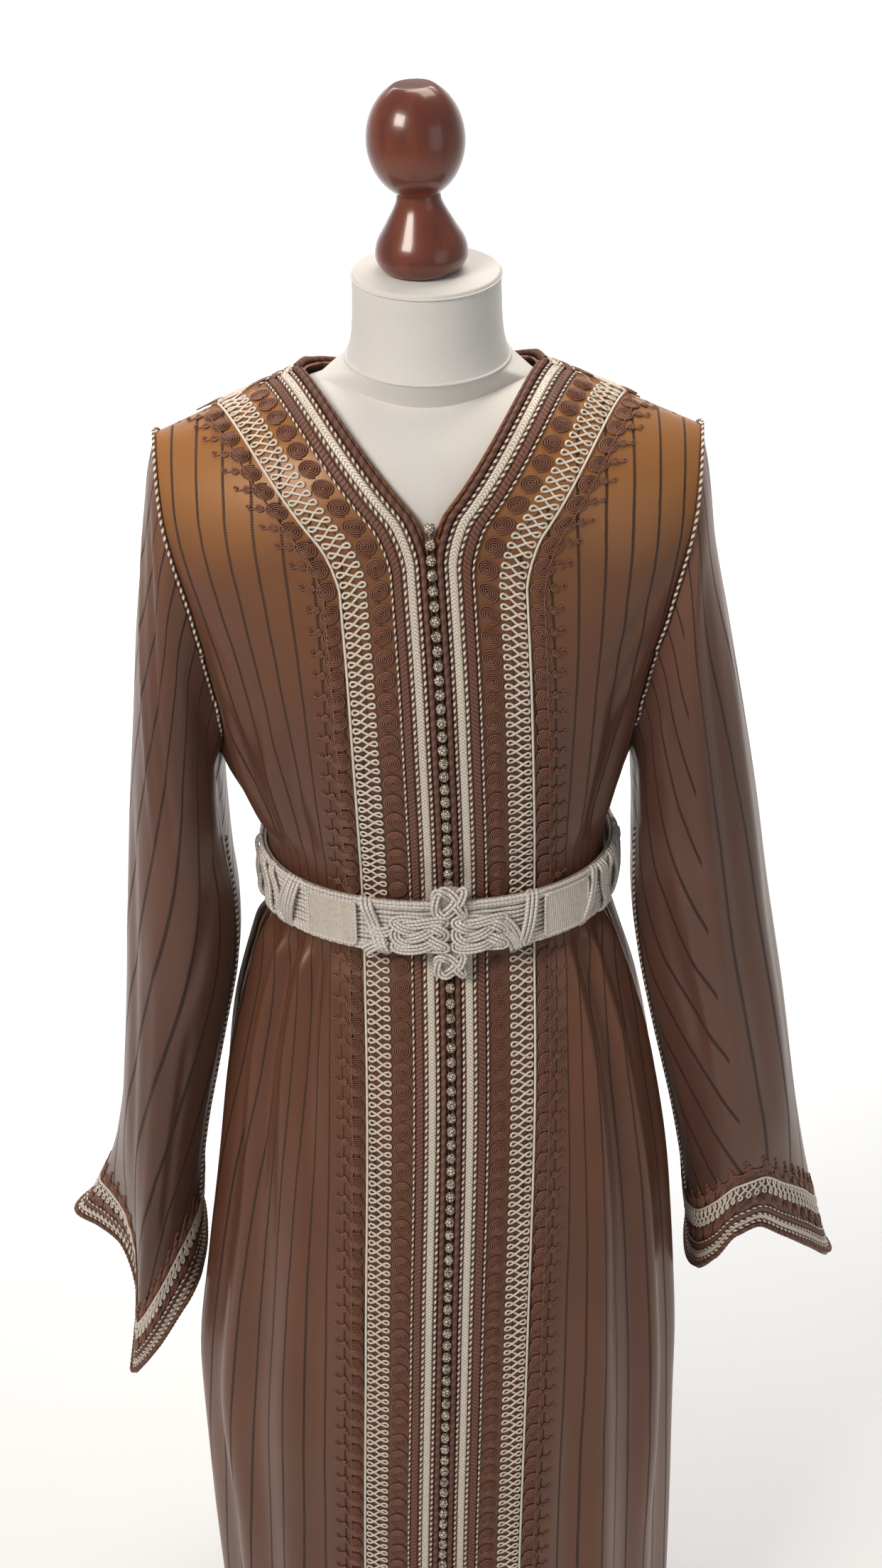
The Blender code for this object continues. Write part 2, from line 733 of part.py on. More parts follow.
def sleeve_ring(side, row):
    outer_x, outer_z, inner_x, inner_z, half_depth, centre_y = row
    middle = Vector((side * (outer_x + inner_x) / 2.0, centre_y, (outer_z + inner_z) / 2.0))
    reach = Vector((side * (outer_x - inner_x) / 2.0, 0.0, (outer_z - inner_z) / 2.0))
    ring = []
    for step in range(2 * ARMHOLE_ROWS):
        turn = math.pi * step / ARMHOLE_ROWS
        ring.append(middle + reach * math.cos(turn) + Vector((0.0, -half_depth * math.sin(turn), 0.0)))
    return ring


def cuff_ring(side, table):
    closed = [(row[0] - 360.0, *row[1:]) for row in table[-2:]] + list(table)
    closed += [(row[0] + 360.0, *row[1:]) for row in table[:2]]
    ring = []
    for step in range(2 * ARMHOLE_ROWS):
        turn = 180.0 * step / ARMHOLE_ROWS
        distance, y, height = (table_value(closed, i, turn) for i in range(1, 4))
        ring.append(Vector((side * distance, y, height)))
    return ring


def sleeve_grid(side, top, rows, cuff_table):
    outer, inner = top[0], top[ARMHOLE_ROWS]
    plain_top = sleeve_ring(side, (abs(outer.x), outer.z, abs(inner.x), inner.z, ARMHOLE_HALF_DEPTH, 0.0))
    grid = [top]
    for number, row in enumerate(rows, start=1):
        fade = max(0.0, 1.0 - number / SLEEVE_FADE_ROWS) ** 2
        ring = sleeve_ring(side, row)
        grid.append([point + (a - b) * fade for point, a, b in zip(ring, top, plain_top)])
    edge = cuff_ring(side, cuff_table)
    above, last = grid[-2], grid[-1]
    for offset in CUFF_OFFSETS:
        line = []
        for before, start, end in zip(above, last, edge):
            length = (end - start).length
            share = 1.0 - offset / length
            bend = start + (start - before).normalized() * length * CUFF_BEND
            rest = 1.0 - share
            line.append(start * rest * rest + bend * (2.0 * share * rest) + end * share * share)
        grid.append(line)
    return grid


# Outward direction at each point of a tube of rings
def tube_normals(grid):
    rows = len(grid)
    columns = len(grid[0])
    normals = []
    for row in range(rows):
        line = []
        for column in range(columns):
            after = grid[row][(column + 1) % columns]
            before = grid[row][column - 1]
            low = grid[min(row + 1, rows - 1)][column]
            high = grid[max(row - 1, 0)][column]
            line.append((after - before).cross(low - high).normalized())
        normals.append(line)
    middle = sum((point for point in grid[2]), Vector()) / columns
    if normals[2][0].dot(grid[2][0] - middle) < 0.0:
        normals = [[-normal for normal in line] for line in normals]
    return normals


def moved(grid, normals, lift):
    return [[point + normal * lift for point, normal in zip(*lines)] for lines in zip(grid, normals)]


def cord(name, points, diameter, material):
    curve = bpy.data.curves.new(name, "CURVE")
    curve.dimensions = "3D"
    curve.bevel_depth = diameter / 2.0
    curve.bevel_resolution = 1
    curve.use_fill_caps = True
    spline = curve.splines.new("POLY")
    spline.points.add(len(points) - 1)
    for target, point in zip(spline.points, points):
        target.co = (*point, 1.0)
    return place(bpy.data.objects.new(name, curve), material)


def make_sleeve(side, label, rows, cuff_table, materials):
    top, aways, panel_normals = armhole_ring(side)
    grid = sleeve_grid(side, top, rows, cuff_table)
    normals = tube_normals(grid)
    seam_normals = list(normals[0])
    # The wall's inner side at the seam stays beyond the edge of the panel
    for step, (normal, away) in enumerate(zip(normals[0], aways)):
        normals[0][step] = (normal - away * max(0.0, normal.dot(away))).normalized()
    wall_object("sleeve_" + label, grid, moved(grid, normals, -CLOTH_THICKNESS), True, materials["satin"])
    first = len(grid) - len(CUFF_OFFSETS)
    for kind, start in CUFF_TRIM_ROWS:
        band = grid[first + start:first + start + 2]
        outward = normals[first + start:first + start + 2]
        outer = moved(band, outward, SEAM_GAP + TRIM_THICKNESS)
        inner = moved(band, outward, SEAM_GAP)
        wall_object("cuff_" + kind + "_" + label, outer, inner, True, materials[kind])
    lift = CORD_DIAMETER / 2.0 + CORD_SEAT
    seam = ARMHOLE_ROWS - 1
    path = [grid[row][seam] + normals[row][seam] * lift for row in range(SLEEVE_CORD_START, first + 1)]
    cord("sleeve_cord_" + label, path, CORD_DIAMETER, materials["braid"])
    rim = []
    for step in range(-ARMHOLE_ROWS + 1, ARMHOLE_ROWS):
        outward = (seam_normals[step] + panel_normals[step]).normalized()
        opening = outward.dot(panel_normals[step])
        if opening > CORD_MIN_OPENING:
            rim.append(top[step] + outward * (CORD_DIAMETER / 2.0 + CORD_SEAT) / opening)
    cord("armhole_cord_" + label, rim, CORD_DIAMETER, materials["braid"])


# Outer face of the belt, at a height over its middle line
def belt_point(angle, height, lift):
    power = 2.0 / SECTION_EXPONENT
    sine = math.sin(angle)
    cosine = math.cos(angle)
    depth = BELT_FRONT_DEPTH if cosine > 0.0 else BELT_BACK_DEPTH
    x = math.copysign((BELT_HALF_WIDTH + lift) * abs(sine) ** power, sine)
    y = -math.copysign((depth + lift) * abs(cosine) ** power, cosine)
    return Vector((BELT_CENTRE_X + x, y, BELT_LEVEL - BELT_DROOP * cosine + height))


def belt_angle(x):
    return math.copysign(math.asin((abs(x - BELT_CENTRE_X) / BELT_HALF_WIDTH) ** (SECTION_EXPONENT / 2.0)),
                         x - BELT_CENTRE_X)


def make_belt_band(material):
    half = BELT_HEIGHT / 2.0
    edge = BELT_EDGE_CORD
    profile = (
        # height, lift from the outer face
        (half, -0.0012), (half - 0.4 * edge, 0.0008), (half - edge, 0.0), (half - 1.4 * edge, -0.0016),
        (-half + 1.4 * edge, -0.0016), (-half + edge, 0.0), (-half + 0.4 * edge, 0.0008), (-half, -0.0012),
        (-half, -BELT_THICKNESS), (half, -BELT_THICKNESS),
    )
    points = []
    for step in range(BELT_SEGMENTS):
        angle = 2.0 * math.pi * step / BELT_SEGMENTS
        points += [belt_point(angle, height, lift) for height, lift in profile]
    faces = []
    size = len(profile)
    for step in range(BELT_SEGMENTS):
        following = (step + 1) % BELT_SEGMENTS
        for corner in range(size):
            other = (corner + 1) % size
            faces.append((step * size + corner, step * size + other, following * size + other,
                          following * size + corner))
    return mesh_object("belt_band", points, faces, material)


# Domed pad on the belt with an oval outline
def make_knot(name, x, height, half_width, half_height, base, material):
    rings = (
        # share of the outline, lift over the belt
        (1.00, base), (1.00, base + 0.5 * KNOT_THICKNESS), (0.80, base + 0.88 * KNOT_THICKNESS),
        (0.40, base + KNOT_THICKNESS),
    )
    points = []
    for share, lift in rings:
        for corner in range(KNOT_SIDES):
            turn = 2.0 * math.pi * corner / KNOT_SIDES
            bulge = 2.0 / KNOT_SQUARENESS
            across = math.copysign(abs(math.cos(turn)) ** bulge, math.cos(turn)) * half_width * share
            rise = math.copysign(abs(math.sin(turn)) ** bulge, math.sin(turn)) * half_height * share
            points.append(belt_point(belt_angle(x + across), height + rise, lift))
    faces = []
    for ring in range(len(rings) - 1):
        for corner in range(KNOT_SIDES):
            a = ring * KNOT_SIDES + corner
            b = ring * KNOT_SIDES + (corner + 1) % KNOT_SIDES
            faces.append((a, b, b + KNOT_SIDES, a + KNOT_SIDES))
    faces.append(tuple(range(KNOT_SIDES)))
    faces.append(tuple(range((len(rings) - 1) * KNOT_SIDES, len(rings) * KNOT_SIDES)))
    return mesh_object(name, points, faces, material)


# Flat ribbon or plaque lying on the belt between two edges, each given as an angle and a height
def belt_strip(name, edges, base, thickness, material):
    outer = [[belt_point(angle, height, base + thickness) for angle, height in line] for line in edges]
    inner = [[belt_point(angle, height, base) for angle, height in line] for line in edges]
    return wall_object(name, outer, inner, False, material)


def make_belt(materials):
    material = materials["belt"]
    make_belt_band(material)
    for row in KNOTS:
        make_knot(*row, material)
    for name, start_x, end_x, half_height in PLAQUES:
        edges = []
        for height in (-half_height, half_height):
            xs = [start_x + (end_x - start_x) * i / 3.0 for i in range(4)]
            edges.append([(belt_angle(x), height) for x in xs])
        belt_strip(name, edges, STRIP_BASE, PLAQUE_THICKNESS, material)
    half = BELT_HEIGHT / 2.0 - WRAP_INSET
    for name, top_angle, bottom_angle in WRAPS:
        edges = []
        for share in (0.0, 0.5, 1.0):
            middle = math.radians(top_angle + (bottom_angle - top_angle) * share)
            spread = WRAP_WIDTH / 2.0 / BELT_TURN_RADIUS
            edges.append([(middle + spread * part, half - 2.0 * half * share) for part in (-1.0, 0.0, 1.0)])
        belt_strip(name, edges, STRIP_BASE, WRAP_THICKNESS, material)


# Half width of the form's section at a level, where its arm plate cuts it
def plate_distance(level):
    own = table_value(FORM_SECTIONS, 1, level) * PLATE_SHARE
    if level <= FORM_TRIM_START:
        return own
    plate = table_value(ARMHOLE, 1, level) - ARM_PLATE_INSET
    share = smooth_step((level - FORM_TRIM_START) / (FORM_TRIM_END - FORM_TRIM_START))
    return own + (plate - own) * share


# Point of the dress form at a distance from the middle
def form_point(x, level, is_back):
    inset = CLOTH_THICKNESS + (FORM_BACK_CLEARANCE if is_back else FORM_CLEARANCE)
    share = smooth_step((level - FORM_TRIM_START) / (FORM_TRIM_END - FORM_TRIM_START))
    under_cloth = Vector()
    if share > 0.0:
        seam = shoulder_level(x, is_back) - FORM_SEAM_DROP
        angle = angle_at(x, min(level, seam), is_back)
        under_cloth = body_point(angle, min(level, seam), -inset)
    if share >= 1.0:
        return under_cloth
    half_width, front, behind = (table_value(FORM_SECTIONS, i, level) for i in range(1, 4))
    across = min(1.0, abs(x - form_centre(level)) / half_width)
    depth = (behind if is_back else front) * (1.0 - across ** SECTION_EXPONENT) ** (1.0 / SECTION_EXPONENT)
    own = Vector((x, depth if is_back else -depth, level))
    return own.lerp(under_cloth, share)


# Middle of the form at a level: its shoulders lie a little to the left of its foot
def form_centre(level):
    share = (level - FORM_LEVELS[0]) / (FORM_TRIM_END - FORM_LEVELS[0])
    return SHOULDER_CENTRE_X * smooth_step(share)


def form_ring(half_width, front_level, back_level):
    ring = []
    for is_back, level in ((False, front_level), (True, back_level)):
        for step in range(FORM_SIDE_POINTS):
            turn = math.radians(-90.0 + 180.0 * step / (FORM_SIDE_POINTS - 1))
            x = form_centre(level) + half_width * math.sin(turn) * (-1.0 if is_back else 1.0)
            edge_level = shoulder_level(SHOULDER_CENTRE_X + half_width, is_back) - FORM_RING_DROP
            if level <= FORM_LEVELS[-1]:
                edge_level = min(level, edge_level)
            share = math.sin(turn) ** 2
            ring.append(form_point(x, level + (edge_level - level) * share, is_back))
    return ring


def make_form_torso(material):
    rings = [form_ring(plate_distance(level), level, level) for level in FORM_LEVELS]
    rings += [form_ring(*row) for row in SHOULDER_RINGS]
    seam_radius = NECK_PROFILE[-1][0] + NECK_SEAM_MARGIN
    tilt = Matrix.Rotation(NECK_TILT, 3, "X")
    neck = []
    for is_back in (False, True):
        for step in range(FORM_SIDE_POINTS):
            turn = math.radians(NECK_RING_TURN * (2.0 * step / (FORM_SIDE_POINTS - 1) - 1.0))
            sign = -1.0 if is_back else 1.0
            flat = Vector((seam_radius * math.sin(turn) * sign, -seam_radius * math.cos(turn) * sign, -SEAM_GAP))
            neck.append(Vector(NECK_CENTRE) + tilt @ flat)
    rings.append(neck)
    sides = 2 * FORM_SIDE_POINTS
    points = [point for ring in rings for point in ring]
    faces = []
    for ring in range(len(rings) - 1):
        for corner in range(sides):
            a = ring * sides + corner
            b = ring * sides + (corner + 1) % sides
            faces += [(a, b, b + sides), (a, b + sides, a + sides)]
    faces.append(tuple(range(sides)))
    faces.append(tuple(range((len(rings) - 1) * sides, len(rings) * sides)))
    return mesh_object("form_torso", points, faces, material)


# Turned piece: the profile runs down its outer side from top to bottom
def turned(name, profile, material):
    closed = [(0.0, profile[0][1]), *profile, (0.0, profile[-1][1])]
    mesh = bpy.data.meshes.new(name)
    points = [(radius, 0.0, height) for radius, height in closed]
    mesh.from_pydata(points, [(i, i + 1) for i in range(len(points) - 1)], [])
    item = bpy.data.objects.new(name, mesh)
    screw = item.modifiers.new("turn", "SCREW")
    screw.steps = TURNED_STEPS
    screw.render_steps = TURNED_STEPS
    screw.use_merge_vertices = True
    screw.merge_threshold = 0.00001
    screw.use_smooth_shade = True
    return place(item, material)


def finial_profile():
    profile = []
    start = math.asin(FACET_RADIUS / BALL_RADIUS)
    end = math.pi - math.asin(FINIAL_BASE[-1][0] / BALL_RADIUS)
    for step in range(BALL_STEPS + 1):
        turn = start + (end - start) * step / BALL_STEPS
        profile.append((BALL_RADIUS * math.sin(turn), BALL_HEIGHT + BALL_HALF_HEIGHT * math.cos(turn)))
    profile += [row for row in reversed(FINIAL_BASE[:-1])]
    return profile


def make_neck_and_finial(materials):
    neck = turned("form_neck", NECK_PROFILE, materials["jersey"])
    neck.location = NECK_CENTRE
    neck.rotation_euler = (NECK_TILT, 0.0, 0.0)
    top = NECK_PROFILE[0][1] + SEAM_GAP
    finial = turned("finial", finial_profile(), materials["wood"])
    offset = Matrix.Rotation(NECK_TILT, 3, "X") @ Vector((FINIAL_OFFSET_X, 0.0, top + FINIAL_SEAT))
    finial.location = Vector(NECK_CENTRE) + offset
    finial.rotation_euler = (NECK_TILT, FINIAL_LEAN, 0.0)


def make_stand(material):
    turned("stand_foot", FOOT_PROFILE, material)
    bottom = FOOT_PROFILE[0][1] + SEAM_GAP
    top = FORM_LEVELS[0] - SEAM_GAP
    bpy.ops.mesh.primitive_cylinder_add(vertices=20, radius=POLE_RADIUS, depth=top - bottom,
                                        location=(0.0, 0.0, (top + bottom) / 2.0))
    pole = bpy.context.object
    pole.name = "stand_pole"
    pole.data.name = "stand_pole"
    for group in list(pole.users_collection):
        group.objects.unlink(pole)
    place(pole, material)


def main():
    clear_scene()
    group = bpy.data.collections.new("kaftan_on_form")
    bpy.context.scene.collection.children.link(group)
    names = {"satin": SATIN, "braid": BRAID, "lace": LACE, "button": BUTTON, "belt": BELT, "jersey": JERSEY,
             "wood": WOOD}
    materials = {key: make_material(*row) for key, row in names.items()}
    make_front_trims(materials)
    panel("back", back_places(), materials["satin"])
    make_neck_trims(materials)
    make_button_row(materials["button"])
    make_sleeve(-1.0, "left", SLEEVE_LEFT_ROWS, CUFF_LEFT, materials)
    make_sleeve(1.0, "right", SLEEVE_RIGHT_ROWS, CUFF_RIGHT, materials)
    make_belt(materials)
    make_form_torso(materials["jersey"])
    make_neck_and_finial(materials)
    make_stand(materials["wood"])


main()
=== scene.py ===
# Kaftan with its corded belt on a limbless dress form: cloth, trims, cords, wood and studio.
# Left and right are as seen from the front: left is -X.
import math

import bmesh
import bpy
import numpy as np
from mathutils import Matrix, Vector


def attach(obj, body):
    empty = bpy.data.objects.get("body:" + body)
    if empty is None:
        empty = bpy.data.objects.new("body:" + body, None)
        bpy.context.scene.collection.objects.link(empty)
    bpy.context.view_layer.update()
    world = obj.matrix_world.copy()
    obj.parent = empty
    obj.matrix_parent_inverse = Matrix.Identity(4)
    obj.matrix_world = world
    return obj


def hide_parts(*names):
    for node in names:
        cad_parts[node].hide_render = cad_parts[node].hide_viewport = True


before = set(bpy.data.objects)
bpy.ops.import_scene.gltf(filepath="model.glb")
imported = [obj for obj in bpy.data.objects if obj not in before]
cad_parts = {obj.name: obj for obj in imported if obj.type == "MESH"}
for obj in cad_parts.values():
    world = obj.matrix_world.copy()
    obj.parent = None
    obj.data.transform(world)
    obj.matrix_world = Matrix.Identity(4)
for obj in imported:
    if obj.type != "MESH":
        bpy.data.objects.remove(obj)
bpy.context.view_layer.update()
print("frame loaded")


# camera at the photograph's angle

def makeCamera():
    setup = {"place": (0.0, -1.60, 1.91), "pitch": 27.5, "roll": -0.9, "lens": 47.28}
    lens = bpy.data.cameras.new("photoCamera")
    lens.sensor_fit = "VERTICAL"
    lens.sensor_height = 36.0
    lens.lens = setup["lens"]
    lens.clip_start = 0.05
    camera = bpy.data.objects.new("photoCamera", lens)
    bpy.context.scene.collection.objects.link(camera)
    turn = Matrix.Rotation(math.radians(90.0 - setup["pitch"]), 4, "X")
    roll = Matrix.Rotation(math.radians(setup["roll"]), 4, "Z")
    camera.matrix_world = Matrix.Translation(setup["place"]) @ turn @ roll
    bpy.context.scene.camera = camera


makeCamera()

# garment's plain surface, the same tables as the solids

cloth = {
    "thickness": 0.0016, "trimLift": 0.0003, "roundness": 2.15,
    "shoulderRadius": 0.120, "shoulderSlope": 0.430, "shoulderMiddle": -0.006, "shoulderBlend": 0.016,
    "neckHalf": 0.092, "neckHeight": 1.454, "backRise": 0.010,
    "vLevel": 1.355, "neckMiddle": -0.0110, "neckEdge": 0.0920,
    "neckStart": math.radians(43.0), "neckEnd": math.radians(15.0), "backDip": 0.086, "backFullness": 0.9,
    "armpit": 1.120, "armholeRows": 10, "vRow": 5, "placket": 0.0002, "armholeInset": 0.0015,
    "sideColumns": 6, "neckColumns": 8, "creaseDepth": 1.45,
}
bodySections = (
    # level, half width, front depth, back depth, middle
    (0.025, 0.230, 0.236, 0.232, -0.007),
    (0.110, 0.227, 0.232, 0.228, -0.007),
    (0.300, 0.229, 0.224, 0.220, -0.010),
    (0.470, 0.229, 0.212, 0.212, -0.012),
    (0.600, 0.219, 0.195, 0.198, -0.008),
    (0.740, 0.203, 0.171, 0.180, -0.004),
    (0.848, 0.186, 0.149, 0.163, -0.005),
    (0.935, 0.161, 0.121, 0.136, -0.006),
    (0.972, 0.1488, 0.1062, 0.1165, -0.0045),
    (1.040, 0.1486, 0.1058, 0.1160, -0.0050),
    (1.075, 0.157, 0.113, 0.123, -0.008),
    (1.120, 0.172, 0.119, 0.125, -0.0115),
    (1.200, 0.194, 0.124, 0.124, -0.009),
    (1.280, 0.225, 0.121, 0.116, -0.006),
    (1.350, 0.246, 0.115, 0.110, -0.006),
    (1.540, 0.252, 0.113, 0.108, -0.006),
)
centreLine = (
    # level, x of the buttons
    (0.025, -0.017), (0.370, -0.010), (0.600, -0.003), (0.900, 0.005), (1.000, 0.005), (1.200, 0.001),
    (1.355, -0.006),
)
armhole = ((1.120, 0.1720), (1.149, 0.1705), (1.200, 0.1780), (1.267, 0.1930), (1.355, 0.2120), (1.475, 0.2200))
skirtLevels = np.array((0.025, 0.105, 0.195, 0.285, 0.375, 0.465, 0.550, 0.630, 0.705, 0.780,
                        0.845, 0.900, 0.935, 0.955, 0.975, 1.008, 1.040, 1.078, 1.120))
lastLow = len(skirtLevels) - 1
lastRow = lastLow + cloth["armholeRows"]
folds = {
    # share, half width, depth at the hem, depth above the belt
    (False, True): ((0.14, 0.15, 0.010, 0.003), (0.45, 0.16, 0.015, 0.005), (0.76, 0.15, 0.011, 0.005)),
    (False, False): ((0.18, 0.16, 0.011, 0.004), (0.50, 0.15, 0.014, 0.005), (0.80, 0.14, 0.010, 0.004)),
    (True, True): ((0.20, 0.13, 0.012, 0.004), (0.48, 0.14, 0.017, 0.006), (0.78, 0.13, 0.014, 0.006)),
    (True, False): ((0.24, 0.14, 0.015, 0.005), (0.54, 0.13, 0.013, 0.005), (0.82, 0.12, 0.016, 0.006)),
}
foldRange = {"top": 0.955, "full": 0.500, "gatherLow": 1.045, "gatherHigh": 1.235, "trimWidth": 0.100}


def smoothStep(share):
    share = np.clip(share, 0.0, 1.0)
    return share * share * (3.0 - 2.0 * share)


def unit(vectors):
    return vectors / np.maximum(np.linalg.norm(vectors, axis=-1, keepdims=True), 1e-12)


# value of one column at each key, through the rows without overshoot
def tableValue(table, column, key):
    keys = np.array([row[0] for row in table], float)
    values = np.array([row[column] for row in table], float)
    key = np.clip(np.asarray(key, float), keys[0], keys[-1])
    steps = np.diff(values) / np.diff(keys)
    before, after = steps[:-1], steps[1:]
    even = before * after > 0.0
    inner = np.where(even, 2.0 * before * after / np.where(even, before + after, 1.0), 0.0)
    slopes = np.concatenate((steps[:1], inner, steps[-1:]))
    index = np.clip(np.searchsorted(keys, key, side="right") - 1, 0, len(keys) - 2)
    width = keys[index + 1] - keys[index]
    t = (key - keys[index]) / width
    start = values[index] * (1.0 + 2.0 * t) + slopes[index] * width * t
    end = values[index + 1] * (3.0 - 2.0 * t) + slopes[index + 1] * width * (t - 1.0)
    return start * (1.0 - t) ** 2 + end * t * t


def shoulderHeight(x, isBack):
    distance = np.abs(x - cloth["shoulderMiddle"])
    reach = distance - cloth["neckHalf"]
    softened = 0.5 * (reach + np.sqrt(reach * reach + cloth["shoulderBlend"] ** 2))
    rise = cloth["backRise"] * np.maximum(0.0, 1.0 - (distance / cloth["neckHalf"]) ** 2)
    return cloth["neckHeight"] - cloth["shoulderSlope"] * softened + np.where(isBack, rise, 0.0)


def shoulderLevel(x, isBack):
    return shoulderHeight(x, isBack) + cloth["shoulderRadius"] * (math.pi / 2.0 - 1.0)


# angle 0 is the middle of the front; the level is the height, measured over the curve of the shoulder
def plainPoint(angle, level):
    angle, level = np.broadcast_arrays(np.asarray(angle, float), np.asarray(level, float))
    half, front, behind, middle = (tableValue(bodySections, i, level) for i in range(1, 5))
    power = 2.0 / cloth["roundness"]
    sine, cosine = np.sin(angle), np.cos(angle)
    isBack = cosine < 0.0
    across = np.sign(sine) * half * np.abs(sine) ** power
    depth = np.where(isBack, behind, front) * np.abs(cosine) ** power
    radius = cloth["shoulderRadius"]
    chest = shoulderHeight(middle + across, isBack) - radius
    turn = np.clip((level - chest) / radius, 0.0, math.pi / 2.0)
    height = np.where(level > chest, chest + radius * np.sin(turn), level)
    depth = depth * np.cos(turn)
    return np.stack((middle + across, np.where(isBack, depth, -depth), height), -1)


def angleAt(x, level, isBack):
    offset = x - tableValue(bodySections, 4, level)
    share = np.minimum(1.0, np.abs(offset) / tableValue(bodySections, 1, level))
    angle = np.sign(offset) * np.arcsin(share ** (cloth["roundness"] / 2.0))
    return np.where(isBack, math.pi - angle, angle)


def surfaceNormal(angle, level):
    around = plainPoint(angle + 0.004, level) - plainPoint(angle - 0.004, level)
    upward = plainPoint(angle, level + 0.001) - plainPoint(angle, level - 0.001)
    return unit(np.cross(around, upward))


def centreX(level):
    return tableValue(centreLine, 1, level)


# creases placed one by one: angle and level at the top, at the bottom, half width and height in mm
creases = (
    # front, above the belt: gathers that run up from it and drag lines from the armpits
    (-34, 1.190, -42, 1.046, 9, -2.2), (-44, 1.170, -51, 1.046, 7, 2.4), (-55, 1.230, -58, 1.046, 8, -2.6),
    (-66, 1.150, -66, 1.046, 7, 2.6), (-76, 1.110, -73, 1.046, 8, -2.4), (-62, 1.275, -48, 1.105, 10, 1.6),
    (-52, 1.300, -38, 1.150, 11, -1.4), (36, 1.180, 43, 1.046, 8, -2.4), (46, 1.210, 52, 1.046, 7, 2.4),
    (56, 1.160, 60, 1.046, 8, -2.8), (67, 1.200, 68, 1.046, 8, 2.6), (77, 1.120, 75, 1.046, 7, -2.2),
    (63, 1.285, 47, 1.120, 11, 1.6), (54, 1.330, 41, 1.190, 10, -1.3),
    # front, below the belt
    (-40, 0.972, -33, 0.700, 8, -4.0), (-47, 0.972, -42, 0.620, 9, 3.6), (-54, 0.972, -51, 0.560, 8, -4.6),
    (-61, 0.972, -58, 0.690, 8, 4.0), (-68, 0.972, -66, 0.500, 10, -4.4), (-76, 0.972, -76, 0.640, 8, 3.8),
    (-84, 0.972, -86, 0.540, 9, -3.8), (39, 0.972, 32, 0.760, 8, -3.8), (46, 0.972, 40, 0.540, 10, 4.2),
    (53, 0.972, 49, 0.640, 8, -4.6), (60, 0.972, 57, 0.480, 10, 4.0), (68, 0.972, 66, 0.660, 8, -4.4),
    (76, 0.972, 76, 0.560, 9, 4.2), (84, 0.972, 86, 0.700, 8, -3.6), (-37, 0.560, -30, 0.060, 22, -3.4),
    (-60, 0.480, -56, 0.040, 26, -4.0), (35, 0.600, 28, 0.050, 24, -3.8), (60, 0.430, 57, 0.040, 26, -4.2),
    # back, the same kinds
    (-97, 1.130, -99, 1.046, 8, 2.4), (-108, 1.190, -107, 1.046, 9, -2.6), (-119, 1.150, -116, 1.046, 8, 2.8),
    (-131, 1.240, -126, 1.046, 9, -2.4), (-143, 1.170, -138, 1.046, 8, 2.6), (-158, 1.210, -152, 1.046, 9, -2.2),
    (96, 1.150, 98, 1.046, 8, -2.4), (109, 1.170, 107, 1.046, 8, 2.6), (121, 1.220, 117, 1.046, 9, -2.8),
    (133, 1.150, 128, 1.046, 8, 2.4), (146, 1.230, 140, 1.046, 9, -2.6), (160, 1.160, 154, 1.046, 8, 2.2),
    (176, 1.200, 171, 1.046, 9, -2.2), (-168, 1.280, -162, 1.110, 12, 1.6), (152, 1.310, 146, 1.160, 12, -1.4),
    (-95, 0.972, -97, 0.600, 9, 4.0), (-104, 0.972, -105, 0.520, 8, -4.4), (-113, 0.972, -115, 0.660, 8, 4.2),
    (-123, 0.972, -124, 0.480, 10, -4.6), (-133, 0.972, -136, 0.620, 9, 4.2), (-144, 0.972, -146, 0.540, 9, -4.4),
    (-156, 0.972, -157, 0.680, 8, 4.0), (-168, 0.972, -168, 0.500, 10, -4.2), (94, 0.972, 96, 0.640, 8, -3.8),
    (103, 0.972, 106, 0.500, 10, 4.4), (114, 0.972, 116, 0.600, 8, -4.6), (124, 0.972, 127, 0.540, 9, 4.2),
    (135, 0.972, 136, 0.680, 8, -4.2), (146, 0.972, 149, 0.520, 9, 4.4), (158, 0.972, 159, 0.620, 8, -4.0),
    (171, 0.972, 172, 0.560, 9, 4.0), (-115, 0.460, -112, 0.050, 28, -4.4), (-150, 0.500, -147, 0.040, 26, -4.0),
    (118, 0.480, 121, 0.040, 26, -4.2), (152, 0.440, 156, 0.050, 28, -4.4),
)


def creaseHeight(angle, level):
    turn = np.arctan2(np.sin(angle), np.cos(angle))
    girth = tableValue(bodySections, 1, level)
    total = np.zeros_like(turn)
    for topAngle, topLevel, lowAngle, lowLevel, halfWidth, height in creases:
        share = (topLevel - level) / (topLevel - lowLevel)
        inside = (share > -0.25) & (share < 1.35)
        middle = np.radians(topAngle + (lowAngle - topAngle) * share)
        away = (np.arctan2(np.sin(turn - middle), np.cos(turn - middle)) * girth) / (halfWidth * 0.001)
        if topLevel < 0.98:  # hangs from the belt and fades downwards
            strength = smoothStep((topLevel - level) / 0.03) * (1.0 - smoothStep((share - 0.35) / 0.8))
        elif lowLevel < 1.05:  # rises from the belt and fades upwards
            strength = smoothStep((level - lowLevel) / 0.03) * smoothStep((topLevel + 0.02 - level) / 0.11)
        else:
            strength = np.sin(math.pi * np.clip(share, 0.0, 1.0)) ** 2
        if topLevel < 0.7:
            strength = smoothStep((topLevel - level) / 0.16)
        total += np.where(inside, 0.001 * cloth["creaseDepth"] * height * strength * np.exp(-away * away), 0.0)
    x = plainPoint(angle, level)[..., 0]
    nearTrims = smoothStep((np.abs(x - centreX(level)) - 0.088) / 0.030)
    return total * np.where(np.cos(turn) > 0.0, nearTrims, 1.0)


